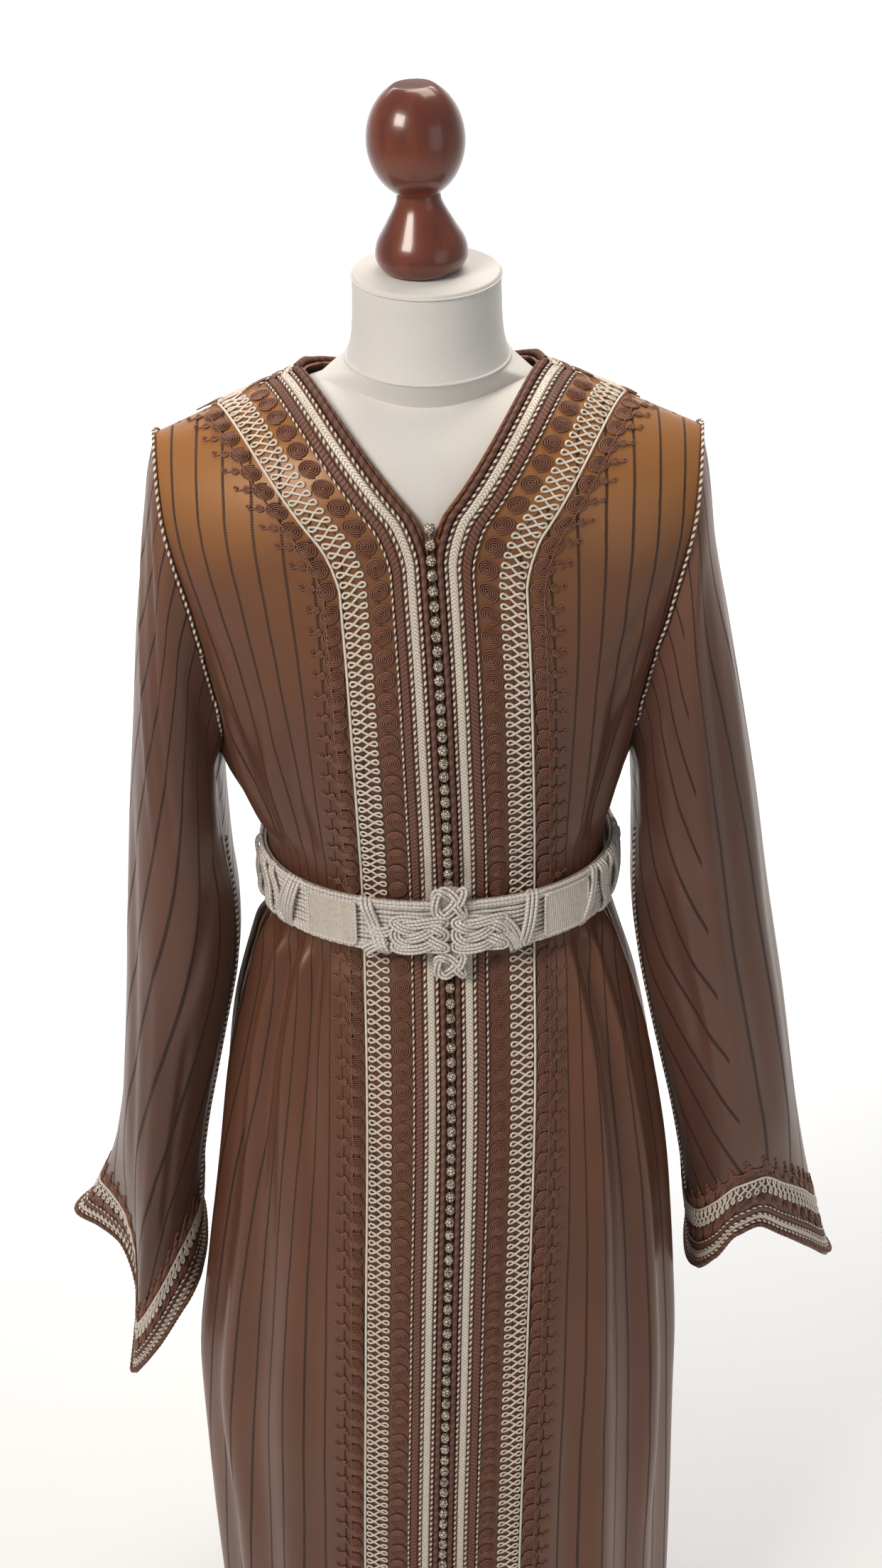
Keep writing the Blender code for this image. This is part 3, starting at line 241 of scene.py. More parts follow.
# height of the folds over the plain surface, largest folds as in the solids
def foldHeight(angle, level):
    turn = np.arctan2(np.sin(angle), np.cos(angle))
    isLeft, away = turn < 0.0, np.abs(turn)
    isBack = away > math.pi / 2.0
    start = np.abs(angleAt(foldRange["trimWidth"], level, False))
    share = np.where(isBack, (away - math.pi / 2.0) / (math.pi / 2.0), (away - start) / (math.pi / 2.0 - start))
    skirt = smoothStep((foldRange["top"] - level) / (foldRange["top"] - foldRange["full"]))
    low, high = foldRange["gatherLow"], foldRange["gatherHigh"]
    gather = np.sin(math.pi * np.clip((level - low) / (high - low), 0.0, 1.0))
    total = np.zeros_like(turn)
    for (back, left), rows in folds.items():
        here = (isBack == back) & (isLeft == left)
        for place, halfWidth, hemDepth, bodiceDepth in rows:
            distance = np.minimum(1.0, np.abs(share - place) / halfWidth)
            bump = np.cos(distance * math.pi / 2.0) ** 2
            total += np.where(here, bump * (hemDepth * skirt + bodiceDepth * gather), 0.0)
    return total


def bodyPoint(angle, level, lift=0.0):
    rise = lift + foldHeight(angle, level) + creaseHeight(angle, level)
    return plainPoint(angle, level) + surfaceNormal(angle, level) * rise[..., None]


def neckline(side, share):
    share = np.asarray(share, float)[..., None]
    start = np.array((centreX(cloth["vLevel"]), cloth["vLevel"]))
    endX = cloth["neckMiddle"] + side * cloth["neckEdge"]
    end = np.array((endX, shoulderLevel(endX, False)))
    reach = np.linalg.norm(end - start) / 3.0
    first = start + reach * np.array((side * math.sin(cloth["neckStart"]), math.cos(cloth["neckStart"])))
    second = end - reach * np.array((side * math.sin(cloth["neckEnd"]), math.cos(cloth["neckEnd"])))
    rest = 1.0 - share
    point = start * rest ** 3 + first * 3 * share * rest ** 2 + second * 3 * share ** 2 * rest + end * share ** 3
    heading = (first - start) * rest ** 2 + (second - first) * 2 * share * rest + (end - second) * share ** 2
    return point, unit(heading)


# x and level at an offset from the button line or the neckline, at a row of the front
def trimPlaceSharp(side, offset, row):
    offset, row = np.broadcast_arrays(np.asarray(offset, float), np.asarray(row, float))
    drop = offset * math.tan(cloth["neckStart"] / 2.0)
    step = row - lastLow
    straight = cloth["armpit"] + (cloth["vLevel"] - drop - cloth["armpit"]) * step / cloth["vRow"]
    level = np.where(step <= 0.0, np.interp(row, np.arange(lastLow + 1), skirtLevels), straight)
    x = centreX(level) + side * offset
    points, _ = neckline(side, np.linspace(0.0, 1.0, 21))
    first = drop / np.linalg.norm(np.diff(points, axis=0), axis=1).sum()
    travelled = np.clip((step - cloth["vRow"]) / (cloth["armholeRows"] - cloth["vRow"]), 0.0, 1.0)
    point, heading = neckline(side, first + (1.0 - first) * travelled)
    end, endHeading = neckline(side, 1.0)
    endX = end[0] + side * endHeading[1] * offset
    shift = shoulderLevel(endX, False) - (end[1] - side * endHeading[0] * offset)
    curveX = point[..., 0] + side * heading[..., 1] * offset
    curveLevel = point[..., 1] - side * heading[..., 0] * offset + shift * travelled
    onCurve = step > cloth["vRow"]
    return np.where(onCurve, curveX, x), np.where(onCurve, curveLevel, level)


# the same with the turn at the V rounded
def trimPlace(side, offset, row):
    row = np.asarray(row, float)
    window = 0.55 * np.exp(-((row - lastLow - cloth["vRow"]) / 1.1) ** 2)
    steps = (-1.0, -0.5, 0.0, 0.5, 1.0)
    places = [trimPlaceSharp(side, offset, row + window * step) for step in steps]
    return sum(place[0] for place in places) / len(steps), sum(place[1] for place in places) / len(steps)


def belowSeam(x, level, isBack):
    return np.minimum(level, shoulderLevel(x, isBack) - cloth["trimLift"])


def armholeLevel(step):
    top = shoulderLevel(cloth["shoulderMiddle"] + armhole[-1][1], False)
    share = (1.0 - np.cos(math.pi * step / cloth["armholeRows"])) / 2.0
    return cloth["armpit"] + (top - cloth["armpit"]) * share


def sideAngle(row):
    row = np.asarray(row, float)
    low = np.interp(row, np.arange(lastLow + 1), skirtLevels)
    lowAngle = math.pi / 2.0 - cloth["placket"] / tableValue(bodySections, 2, low)
    high = armholeLevel(np.maximum(row - lastLow, 0.0))
    share = np.minimum(1.0, tableValue(armhole, 1, high) / tableValue(bodySections, 1, high))
    highAngle = np.arcsin(share ** (cloth["roundness"] / 2.0)) - cloth["armholeInset"]
    isLow = row <= lastLow
    return np.where(isLow, lowAngle, highAngle), np.where(isLow, low, high)


def backNeckline(turn):
    x = cloth["neckMiddle"] + cloth["neckEdge"] * np.sin(turn)
    endLevel = shoulderLevel(cloth["neckMiddle"] - cloth["neckEdge"], True)
    dip = cloth["backDip"] * np.maximum(np.cos(turn), 0.0) ** cloth["backFullness"]
    return x, np.maximum(endLevel, shoulderLevel(x, False)) - dip


def backTop(column):
    sides, neck = cloth["sideColumns"], cloth["neckColumns"]
    count = 2 * sides + neck
    turn = np.radians(-90.0 + 180.0 * np.clip((column - sides) / neck, 0.0, 1.0))
    x, level = backNeckline(turn)
    side = np.where(column < count / 2.0, -1.0, 1.0)
    stepsIn = np.minimum(np.minimum(column, count - column) / sides, 1.0)
    neckX = cloth["neckMiddle"] + side * cloth["neckEdge"]
    tipX = cloth["shoulderMiddle"] + side * armhole[-1][1]
    shoulderX = tipX + (neckX - tipX) * stepsIn
    onNeck = stepsIn >= 1.0
    x = np.where(onNeck, x, shoulderX)
    return x, np.where(onNeck, belowSeam(x, level, True), shoulderLevel(x, True) - cloth["trimLift"])


# angle and level of the back at rows and columns
def backPlaces(rows, columns):
    count = 2 * cloth["sideColumns"] + cloth["neckColumns"]
    row, column = np.meshgrid(rows, columns, indexing="ij")
    share = 2.0 * column / count - 1.0
    side = np.where(share > 0.0, 1.0, -1.0)
    edgeAngle, edgeLevel = sideAngle(row)
    step = np.clip((row - lastLow) / cloth["armholeRows"], 0.0, 1.0)
    climb = 0.5 * smoothStep(step) + 0.5 * step
    topX, topLevel = backTop(column)
    topAngle = angleAt(topX, topLevel, True)
    lowSide = sideAngle(np.array(float(lastLow)))[0]
    lowAngle = math.pi - share * lowSide
    angle = lowAngle + (topAngle - lowAngle) * climb
    level = cloth["armpit"] + (topLevel - cloth["armpit"]) * climb
    topEdgeX, topEdgeLevel = backTop(np.where(share > 0.0, float(count), 0.0))
    lowEdge = math.pi - side * lowSide
    plainEdge = lowEdge + (angleAt(topEdgeX, topEdgeLevel, True) - lowEdge) * climb
    plainLevel = cloth["armpit"] + (topEdgeLevel - cloth["armpit"]) * climb
    weight = np.abs(share) ** 3
    angle = angle + weight * (math.pi - side * edgeAngle - plainEdge)
    level = level + weight * (edgeLevel - plainLevel)
    isLow = row <= lastLow
    angle = np.where(isLow, math.pi - share * edgeAngle, angle)
    level = np.where(isLow, edgeLevel, level)
    return angle, belowSeam(plainPoint(angle, level)[..., 0], level, True)


# mesh builders

# caps the open ends of cords and turns every face outwards
def closeAndTurn(mesh):
    shell = bmesh.new()
    shell.from_mesh(mesh)
    ends = [edge for edge in shell.edges if edge.is_boundary]
    if ends:
        for cap in bmesh.ops.holes_fill(shell, edges=ends, sides=0)["faces"]:
            cap.material_index = next(face.material_index for face in cap.edges[0].link_faces if face is not cap)
    bmesh.ops.recalc_face_normals(shell, faces=shell.faces)
    shell.to_mesh(mesh)
    shell.free()


def linkPiece(name, mesh):
    piece = bpy.data.objects.new(name, mesh)
    bpy.context.scene.collection.objects.link(piece)
    return piece


def meshPiece(name, points, faces, materials, corners=None, faceMaterial=None, recalc=False):
    mesh = bpy.data.meshes.new(name)
    mesh.from_pydata(np.asarray(points, float).reshape(-1, 3).tolist(), [], faces.tolist())
    if corners is not None:
        layer = mesh.uv_layers.new(name="pattern")
        layer.data.foreach_set("uv", np.asarray(corners, np.float32).ravel())
    for material in materials if isinstance(materials, (list, tuple)) else [materials]:
        mesh.materials.append(material)
    if faceMaterial is not None:
        mesh.polygons.foreach_set("material_index", np.asarray(faceMaterial, np.int32))
    mesh.shade_smooth()
    if recalc:
        closeAndTurn(mesh)
    return linkPiece(name, mesh)


def addPiece(piece, slotName, *nodes):
    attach(piece, "root")
    if nodes:
        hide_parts(*nodes)
    return piece


# quads between neighbouring points of a grid, with the corner coordinates that go with them
def gridFaces(rows, columns, closed, start=0, flip=False):
    row, column = np.meshgrid(np.arange(rows - 1), np.arange(columns if closed else columns - 1), indexing="ij")
    after = (column + 1) % columns
    quads = np.stack((row * columns + column, row * columns + after, (row + 1) * columns + after,
                      (row + 1) * columns + column), -1)
    if flip:
        quads = quads[..., ::-1]
    return quads.reshape(-1, 4) + start


def gridCorners(u, v, flip=False):
    across = np.stack((u[:-1, :-1], u[:-1, 1:], u[1:, 1:], u[1:, :-1]), -1)
    along = np.stack((v[:-1, :-1], v[:-1, 1:], v[1:, 1:], v[1:, :-1]), -1)
    corners = np.stack((across, along), -1)
    if flip:
        corners = corners[:, :, ::-1]
    return corners.reshape(-1, 2)


# thin wall between an outer and an inner grid; a tube has its first column repeated in u and v
def clothWall(name, outer, inner, u, v, closed, material, flip=False):
    rows, columns = outer.shape[:2]
    back = rows * columns
    faces = [gridFaces(rows, columns, closed, 0, flip), gridFaces(rows, columns, closed, back, not flip)]
    corners = [gridCorners(u, v, flip), gridCorners(u, v, not flip)]
    rims = [(np.arange(columns if closed else columns - 1) + row * columns, 1) for row in (0, rows - 1)]
    edges = []
    for first, _ in rims:
        second = first - first[0] + 1
        edges.append(np.stack((first, first[0] + second % columns), -1))
    if not closed:
        for column in (0, columns - 1):
            first = np.arange(rows - 1) * columns + column
            edges.append(np.stack((first, first + columns), -1))
    edges = np.concatenate(edges)
    faces.append(np.stack((edges[:, 0], edges[:, 1], edges[:, 1] + back, edges[:, 0] + back), -1))
    flatU, flatV = u[:, :columns].ravel(), v[:, :columns].ravel()
    rim = np.stack((flatU[edges[:, [0, 1, 1, 0]]], flatV[edges[:, [0, 1, 1, 0]]]), -1)
    corners.append(rim.reshape(-1, 2))
    points = np.concatenate((outer.reshape(-1, 3), inner.reshape(-1, 3)))
    return meshPiece(name, points, np.concatenate(faces), material, np.concatenate(corners), recalc=True)


# many cords at once: centre points and outward normals of shape (cords, steps, 3)
def cordParts(points, normals, radius, sides, closed=False, lobes=0, twist=1.0, relief=0.0, phase=0.0):
    cords, steps = points.shape[:2]
    if closed:
        tangent = unit(np.roll(points, -1, axis=1) - np.roll(points, 1, axis=1))
    else:
        tangent = unit(np.gradient(points, axis=1))
    side = unit(np.cross(tangent, normals))
    up = np.cross(side, tangent)
    gaps = np.linalg.norm(np.diff(points, axis=1), axis=-1)
    along = np.concatenate((np.zeros((cords, 1)), np.cumsum(gaps, axis=1)), axis=1)
    turn = 2.0 * math.pi * np.arange(sides) / sides
    size = np.broadcast_to(np.asarray(radius, float), (cords, steps))[..., None]
    if lobes:
        wave = np.abs(np.cos(lobes / 2.0 * (turn + phase) + math.pi * lobes * along[..., None] / twist))
        size = size * (1.0 - relief * (1.0 - wave))
    rings = (points[:, :, None] + side[:, :, None] * (size * np.cos(turn))[..., None]
             + up[:, :, None] * (size * np.sin(turn))[..., None])
    base = (np.arange(cords) * steps * sides)[:, None, None]
    ahead = np.arange(steps if closed else steps - 1)
    first = ahead[:, None] * sides
    second = ((ahead + 1) % steps)[:, None] * sides
    a = np.arange(sides)
    b = (a + 1) % sides
    quads = np.stack([base + first + a, base + first + b, base + second + b, base + second + a], -1)
    full = np.concatenate((along, along[:, -1:] + gaps[:, :1]), axis=1) if closed else along
    near, far = full[:, ahead, None], full[:, ahead + 1, None]
    low, high = a / sides, (a + 1) / sides
    shape = quads.shape[:3]
    u = np.stack([np.broadcast_to(x, shape) for x in (near, near, far, far)], -1)
    v = np.stack([np.broadcast_to(x, shape) for x in (low, high, high, low)], -1)
    faces = quads.reshape(-1, 4)
    corners = np.stack((u, v), -1).reshape(-1, 2)
    return rings.reshape(-1, 3), faces, corners


# joins parts into one piece; each part is (points, faces, corners, material number)
def joinParts(name, parts, materials):
    points, faces, corners, numbers, start = [], [], [], [], 0
    for part in parts:
        points.append(part[0])
        faces.append(part[1] + start)
        corners.append(part[2])
        numbers.append(np.full(len(part[1]), part[3]))
        start += len(part[0])
    return meshPiece(name, np.concatenate(points), np.concatenate(faces), materials, np.concatenate(corners),
                     np.concatenate(numbers), True)


# charts: flat places on a surface, as an offset across and metres along

def makeChart(points, low, high, closed=False):
    if closed:
        points = np.concatenate((points, points[:, :1]), axis=1)
        ahead = np.concatenate((points[:, 1:], points[:, 1:2]), axis=1)
        behind = np.concatenate((points[:, -2:-1], points[:, :-1]), axis=1)
        along = ahead - behind
    else:
        along = np.gradient(points, axis=1)
    across = np.gradient(points, axis=0)
    gaps = np.linalg.norm(np.diff(points, axis=1), axis=-1)
    lengths = np.concatenate((np.zeros((len(points), 1)), np.cumsum(gaps, axis=1)), axis=1)
    return {"points": points, "normals": unit(np.cross(across, along)), "low": low, "high": high,
            "lengths": lengths, "closed": closed}


def chartLength(chart, base):
    return float(chart["lengths"][chartRow(chart, base)][-1])


def chartRow(chart, base):
    count = len(chart["points"]) - 1
    return int(round(np.clip((base - chart["low"]) / (chart["high"] - chart["low"]), 0.0, 1.0) * count))


# points and normals at offsets and distances measured along the line at the base offset
def layOn(chart, offset, along, lift, base):
    offset, along, lift = np.broadcast_arrays(np.asarray(offset, float), along, lift)
    rows, columns = chart["points"].shape[:2]
    lengths = chart["lengths"][chartRow(chart, base)]
    if chart["closed"]:
        along = np.mod(along, lengths[-1])
    i = np.clip((offset - chart["low"]) / (chart["high"] - chart["low"]) * (rows - 1), 0.0, rows - 1.001)
    j = np.clip(np.interp(along, lengths, np.arange(columns)), 0.0, columns - 1.001)
    i0, j0 = i.astype(int), j.astype(int)
    f, g = (i - i0)[..., None], (j - j0)[..., None]

    def blend(field):
        low = field[i0, j0] * (1.0 - g) + field[i0, j0 + 1] * g
        high = field[i0 + 1, j0] * (1.0 - g) + field[i0 + 1, j0 + 1] * g
        return low * (1.0 - f) + high * f

    normals = unit(blend(chart["normals"]))
    return blend(chart["points"]) + normals * lift[..., None], normals


# a cord along the chart at one offset
def lineCord(chart, offset, radius, lift, spacing, sides=6, **twist):
    length = chartLength(chart, offset)
    margin = 0.0 if chart["closed"] else 0.0008
    steps = max(8, int(length / spacing))
    along = np.linspace(margin, length - margin, steps, endpoint=not chart["closed"])
    points, normals = layOn(chart, np.full(steps, offset), along, lift + radius, offset)
    return cordParts(points[None], normals[None], radius, sides, chart["closed"], **twist)


# a flat braid between two offsets, with raised chevrons
def braidBand(chart, low, high, lift, thickness, pitch, relief, spacing=0.0008, columns=8):
    base = (low + high) / 2.0
    length = chartLength(chart, base)
    steps = max(8, int(length / spacing))
    closed = chart["closed"]
    along = np.linspace(0.0 if closed else 0.0006, length - (0.0 if closed else 0.0006), steps, endpoint=not closed)
    share = np.linspace(-1.0, 1.0, columns + 1)
    half = (high - low) / 2.0
    wave = np.abs(np.mod(along[:, None] / pitch - 0.55 * np.abs(share), 1.0) * 2.0 - 1.0)
    crown = thickness * (1.0 - 0.55 * share ** 4 - 0.25 * np.exp(-(share / 0.16) ** 2)) + relief * (wave - 0.5)
    across = np.concatenate((base + share * half, (base + half * 0.92, base - half * 0.92)))
    flat = np.full((steps, 1), 0.00005)
    lifts = lift + np.concatenate((crown, flat, flat), axis=1)
    points, _ = layOn(chart, across[None], along[:, None], lifts, base)
    count = len(across)
    faces = gridFaces(steps, count, True)
    if closed:
        last = (steps - 1) * count
        column = np.arange(count)
        seam = np.stack((last + column, last + (column + 1) % count, (column + 1) % count, column), -1)
        faces = np.concatenate((faces, seam))
    flatPoints = points.reshape(-1, 3)
    u = np.repeat(along, count)
    v = np.tile(np.concatenate((share * 0.5 + 0.5, (1.0, 0.0))), steps)
    corners = np.stack((u[faces], v[faces]), -1).reshape(-1, 2)
    if closed:
        seamU = corners.reshape(-1, 4, 2)[-count:]
        seamU[:, 2:, 0] = length
    return flatPoints, faces, corners


# flat curves on a chart, repeated: curve is (steps, 2) of across and along, centres (count,) along
def repeatCords(chart, base, curve, centres, radius, sides, lift, jitter=0.0, closed=False, lifts=0.0, seed=1):
    random = np.random.default_rng(seed)
    spin = random.normal(0.0, 1.0, (len(centres), 2)) * jitter
    across = base + curve[None, :, 0] + spin[:, :1]
    along = centres[:, None] + curve[None, :, 1] + spin[:, 1:]
    height = lift + np.max(radius) + np.broadcast_to(lifts, (len(curve),))[None]
    points, normals = layOn(chart, across, along, height, base)
    return cordParts(points, normals, radius, sides, closed)


# materials

def newMaterial(name):
    material = bpy.data.materials.new(name)
    material.use_nodes = True
    tree = material.node_tree
    return material, tree.nodes, tree.links, tree.nodes["Principled BSDF"]


def mathNode(nodes, links, operation, first, second=None, clamp=False):
    node = nodes.new("ShaderNodeMath")
    node.operation = operation
    node.use_clamp = clamp
    for socket, value in zip(node.inputs, (first, second)):
        if value is None:
            continue
        if isinstance(value, (int, float)):
            socket.default_value = value
        else:
            links.new(value, socket)
    return node.outputs[0]


def mixColor(nodes, links, factor, first, second):
    node = nodes.new("ShaderNodeMix")
    node.data_type = "RGBA"
    for socket, value in ((node.inputs[0], factor), (node.inputs[6], first), (node.inputs[7], second)):
        if isinstance(value, tuple):
            socket.default_value = (*value, 1.0)
        elif isinstance(value, (int, float)):
            socket.default_value = value
        else:
            links.new(value, socket)
    return node.outputs[2]


def noiseNode(nodes, links, vector, scale, detail=3.0):
    node = nodes.new("ShaderNodeTexNoise")
    node.inputs["Scale"].default_value = scale
    node.inputs["Detail"].default_value = detail
    node.inputs["Roughness"].default_value = 0.5
    links.new(vector, node.inputs["Vector"])
    return node.outputs["Fac"]


def ramp(nodes, links, factor, low, high):
    node = nodes.new("ShaderNodeMapRange")
    node.interpolation_type = "SMOOTHSTEP"
    node.inputs["From Min"].default_value = low
    node.inputs["From Max"].default_value = high
    links.new(factor, node.inputs["Value"])
    return node.outputs["Result"]


def bumpNode(nodes, links, shader, height, strength, distance):
    node = nodes.new("ShaderNodeBump")
    node.inputs["Strength"].default_value = strength
    node.inputs["Distance"].default_value = distance
    links.new(height, node.inputs["Height"])
    links.new(node.outputs["Normal"], shader.inputs["Normal"])


def patternAxes(nodes, links):
    coordinates = nodes.new("ShaderNodeTexCoord")
    split = nodes.new("ShaderNodeSeparateXYZ")
    links.new(coordinates.outputs["UV"], split.inputs[0])
    return coordinates, split.outputs["X"], split.outputs["Y"]


# satin with woven stripes and a painted copper sheen where it faces up; u counts stripes, v is metres along them
def satinMaterial(name, look):
    material, nodes, links, shader = newMaterial(name)
    coordinates, u, v = patternAxes(nodes, links)
    place = coordinates.outputs["Object"]
    wander = noiseNode(nodes, links, place, 14.0, 2.0)
    shifted = mathNode(nodes, links, "ADD", u, mathNode(nodes, links, "MULTIPLY", wander, look["wander"]))
    away = mathNode(nodes, links, "PINGPONG", shifted, 0.5)
    stripe = mathNode(nodes, links, "SUBTRACT", 1.0, ramp(nodes, links, away, look["stripe"] * 0.35, look["stripe"]))
    cross = nodes.new("ShaderNodeMath")
    cross.operation = "SINE"
    links.new(mathNode(nodes, links, "MULTIPLY", v, 2.0 * math.pi / look["ribPitch"]), cross.inputs[0])
    rib = mathNode(nodes, links, "MULTIPLY", cross.outputs[0], stripe)
    geometry = nodes.new("ShaderNodeNewGeometry")
    facing = nodes.new("ShaderNodeSeparateXYZ")
    links.new(geometry.outputs["Normal"], facing.inputs[0])
    spot = nodes.new("ShaderNodeSeparateXYZ")
    links.new(place, spot.inputs[0])
    # painted light: the copper colour is mixed in where the cloth faces up and sits high on the body, a painted
    # sheen in place of the warm light from above
    raised = ramp(nodes, links, facing.outputs["Z"], look["paintedLightFrom"], look["paintedLightTo"])
    high = ramp(nodes, links, spot.outputs["Z"], *look["paintedLightHeights"])
    blot = ramp(nodes, links, noiseNode(nodes, links, place, 5.0, 3.0), 0.35, 0.70)
    paintedLightShare = mathNode(nodes, links, "MULTIPLY", raised, mathNode(nodes, links, "ADD", high, look["lowPaintedLight"]), True)
    base = mixColor(nodes, links, blot, look["base"], look["shade"])
    base = mixColor(nodes, links, paintedLightShare, base, look["paintedCopperLight"])
    share = mathNode(nodes, links, "MULTIPLY", stripe, look["stripeShare"])
    color = mixColor(nodes, links, share, base, look["line"])
    links.new(color, shader.inputs["Base Color"])
    rough = mathNode(nodes, links, "ADD", mathNode(nodes, links, "MULTIPLY", stripe, 0.22), look["rough"])
    links.new(rough, shader.inputs["Roughness"])
    shader.inputs["Sheen Weight"].default_value = look["sheen"]
    shader.inputs["Sheen Roughness"].default_value = 0.35
    shader.inputs["Sheen Tint"].default_value = (*look["sheenTint"], 1.0)
    shader.inputs["Specular IOR Level"].default_value = look["specular"]
    shader.inputs["Specular Tint"].default_value = (*look["specularTint"], 1.0)
    weave = noiseNode(nodes, links, place, 1400.0, 1.0)
    height = mathNode(nodes, links, "ADD", mathNode(nodes, links, "MULTIPLY", weave, 0.10), stripe)
    height = mathNode(nodes, links, "ADD", height, mathNode(nodes, links, "MULTIPLY", rib, 0.6))
    bumpNode(nodes, links, shader, height, 0.5, 0.0004)
    return material


# twisted cord: u is metres along it, v runs once round it
def ropeMaterial(name, look):
    material, nodes, links, shader = newMaterial(name)
    coordinates, u, v = patternAxes(nodes, links)
    place = coordinates.outputs["Object"]
    along = mathNode(nodes, links, "MULTIPLY", u, look.get("turns", 1.0) / look["pitch"])
    phase = mathNode(nodes, links, "ADD", v, along)
    wave = mathNode(nodes, links, "PINGPONG", phase, 0.5)
    grain = noiseNode(nodes, links, place, look.get("grain", 900.0), 2.0)
    if "second" in look:
        strand = ramp(nodes, links, wave, 0.25 - look["soft"], 0.25 + look["soft"])
        color = mixColor(nodes, links, strand, look["first"], look["second"])
    else:
        color = mixColor(nodes, links, ramp(nodes, links, grain, 0.50, 0.95), look["first"], look["dark"])
    spots = ramp(nodes, links, noiseNode(nodes, links, place, 260.0, 2.0), 0.52, 0.80)
    color = mixColor(nodes, links, mathNode(nodes, links, "MULTIPLY", spots, 0.30), color, look["dark"])
    links.new(color, shader.inputs["Base Color"])
    fine = nodes.new("ShaderNodeMath")
    fine.operation = "SINE"
    threads = mathNode(nodes, links, "ADD", mathNode(nodes, links, "MULTIPLY", u, 2.0 * math.pi / look["thread"]),
                       mathNode(nodes, links, "MULTIPLY", v, 2.0 * math.pi * 2.0))
    links.new(threads, fine.inputs[0])
    height = mathNode(nodes, links, "ADD", mathNode(nodes, links, "MULTIPLY", fine.outputs[0], 0.5), grain)
    bumpNode(nodes, links, shader, height, 0.7, look.get("depth", 0.0003))
    shader.inputs["Metallic"].default_value = look["metal"]
    shader.inputs["Roughness"].default_value = look["rough"]
    shader.inputs["Sheen Weight"].default_value = look.get("sheen", 0.1)
    shader.inputs["Sheen Tint"].default_value = (*look["first"], 1.0)
    return material


# flat braid: chevrons or slanting strands, with painted shade in the gaps between them; u is metres along it, v runs
# once across it
def braidMaterial(name, look):
    material, nodes, links, shader = newMaterial(name)
    coordinates, u, v = patternAxes(nodes, links)
    place = coordinates.outputs["Object"]
    slant = v
    if look["vee"]:
        slant = nodes.new("ShaderNodeMath")
        slant.operation = "ABSOLUTE"
        across = mathNode(nodes, links, "MULTIPLY", v, 2.0)
        links.new(mathNode(nodes, links, "SUBTRACT", across, 1.0), slant.inputs[0])
        slant = slant.outputs[0]
    phase = mathNode(nodes, links, "ADD", mathNode(nodes, links, "MULTIPLY", u, 1.0 / look["pitch"]),
                     mathNode(nodes, links, "MULTIPLY", slant, look["slant"]))
    strand = mathNode(nodes, links, "PINGPONG", phase, 0.5)
    gap = mathNode(nodes, links, "SUBTRACT", 1.0, ramp(nodes, links, strand, 0.02, look["gap"]))
    grain = noiseNode(nodes, links, place, 1100.0, 2.0)
    light = mixColor(nodes, links, ramp(nodes, links, grain, 0.50, 0.90), look["first"], look["dark"])
    # the gaps between strands sink in the bump and take the dark colour: painted shade in the grooves
    color = mixColor(nodes, links, mathNode(nodes, links, "MULTIPLY", gap, 0.85), light, look["dark"])
    links.new(color, shader.inputs["Base Color"])
    height = mathNode(nodes, links, "ADD", mathNode(nodes, links, "MULTIPLY", gap, -1.0),
                      mathNode(nodes, links, "MULTIPLY", grain, 0.3))
    bumpNode(nodes, links, shader, height, 0.8, 0.0005)
    shader.inputs["Metallic"].default_value = look["metal"]
    shader.inputs["Roughness"].default_value = look["rough"]
    shader.inputs["Sheen Weight"].default_value = 0.1
    shader.inputs["Sheen Tint"].default_value = (*look["first"], 1.0)
    return material


# thread worked into a knotted ball: rounded cells with dark gaps, painted shade in the crevices between the threads
def knotMaterial(name, look):
    material, nodes, links, shader = newMaterial(name)
    place = nodes.new("ShaderNodeTexCoord").outputs["Object"]
    cells = nodes.new("ShaderNodeTexVoronoi")
    cells.feature = "DISTANCE_TO_EDGE"
    cells.inputs["Scale"].default_value = look["cells"]
    links.new(place, cells.inputs["Vector"])
    body = ramp(nodes, links, cells.outputs["Distance"], 0.02, 0.22)
    grain = noiseNode(nodes, links, place, 1500.0, 2.0)
    light = mixColor(nodes, links, ramp(nodes, links, grain, 0.45, 0.90), look["first"], look["second"])
    # the cell edges take the dark colour: painted shade where the threads dip
    links.new(mixColor(nodes, links, body, look["dark"], light), shader.inputs["Base Color"])
    height = mathNode(nodes, links, "ADD", body, mathNode(nodes, links, "MULTIPLY", grain, 0.4))
    bumpNode(nodes, links, shader, height, 0.9, 0.0006)
    shader.inputs["Metallic"].default_value = look["metal"]
    shader.inputs["Roughness"].default_value = look["rough"]
    return material


# cloth

satinLook = {
    # the copper colour and the facing and height ranges paint a copper sheen on upward-facing cloth: painted light,
    # not the satin's own colour
    "base": (0.132, 0.052, 0.033), "shade": (0.102, 0.040, 0.027), "paintedCopperLight": (0.330, 0.140, 0.042),
    "line": (0.024, 0.009, 0.007), "stripe": 0.080, "stripeShare": 0.90, "wander": 0.10, "ribPitch": 0.0022,
    "paintedLightFrom": -0.30, "paintedLightTo": 0.62, "paintedLightHeights": (1.08, 1.38), "lowPaintedLight": 0.14, "rough": 0.37,
    "sheen": 0.12, "sheenTint": (0.95, 0.66, 0.48), "specular": 0.62, "specularTint": (1.0, 0.80, 0.64),
}
# the sleeves carry the same painted copper sheen, in a browner colour
sleeveLook = {**satinLook, "base": (0.118, 0.055, 0.040), "shade": (0.090, 0.042, 0.032),
              "paintedCopperLight": (0.190, 0.085, 0.048), "lowPaintedLight": 0.35, "sheenTint": (0.85, 0.62, 0.50),
              "specularTint": (1.0, 0.82, 0.68)}
satin = satinMaterial("brownSatin", satinLook)
sleeveSatin = satinMaterial("brownSatinSleeve", sleeveLook)

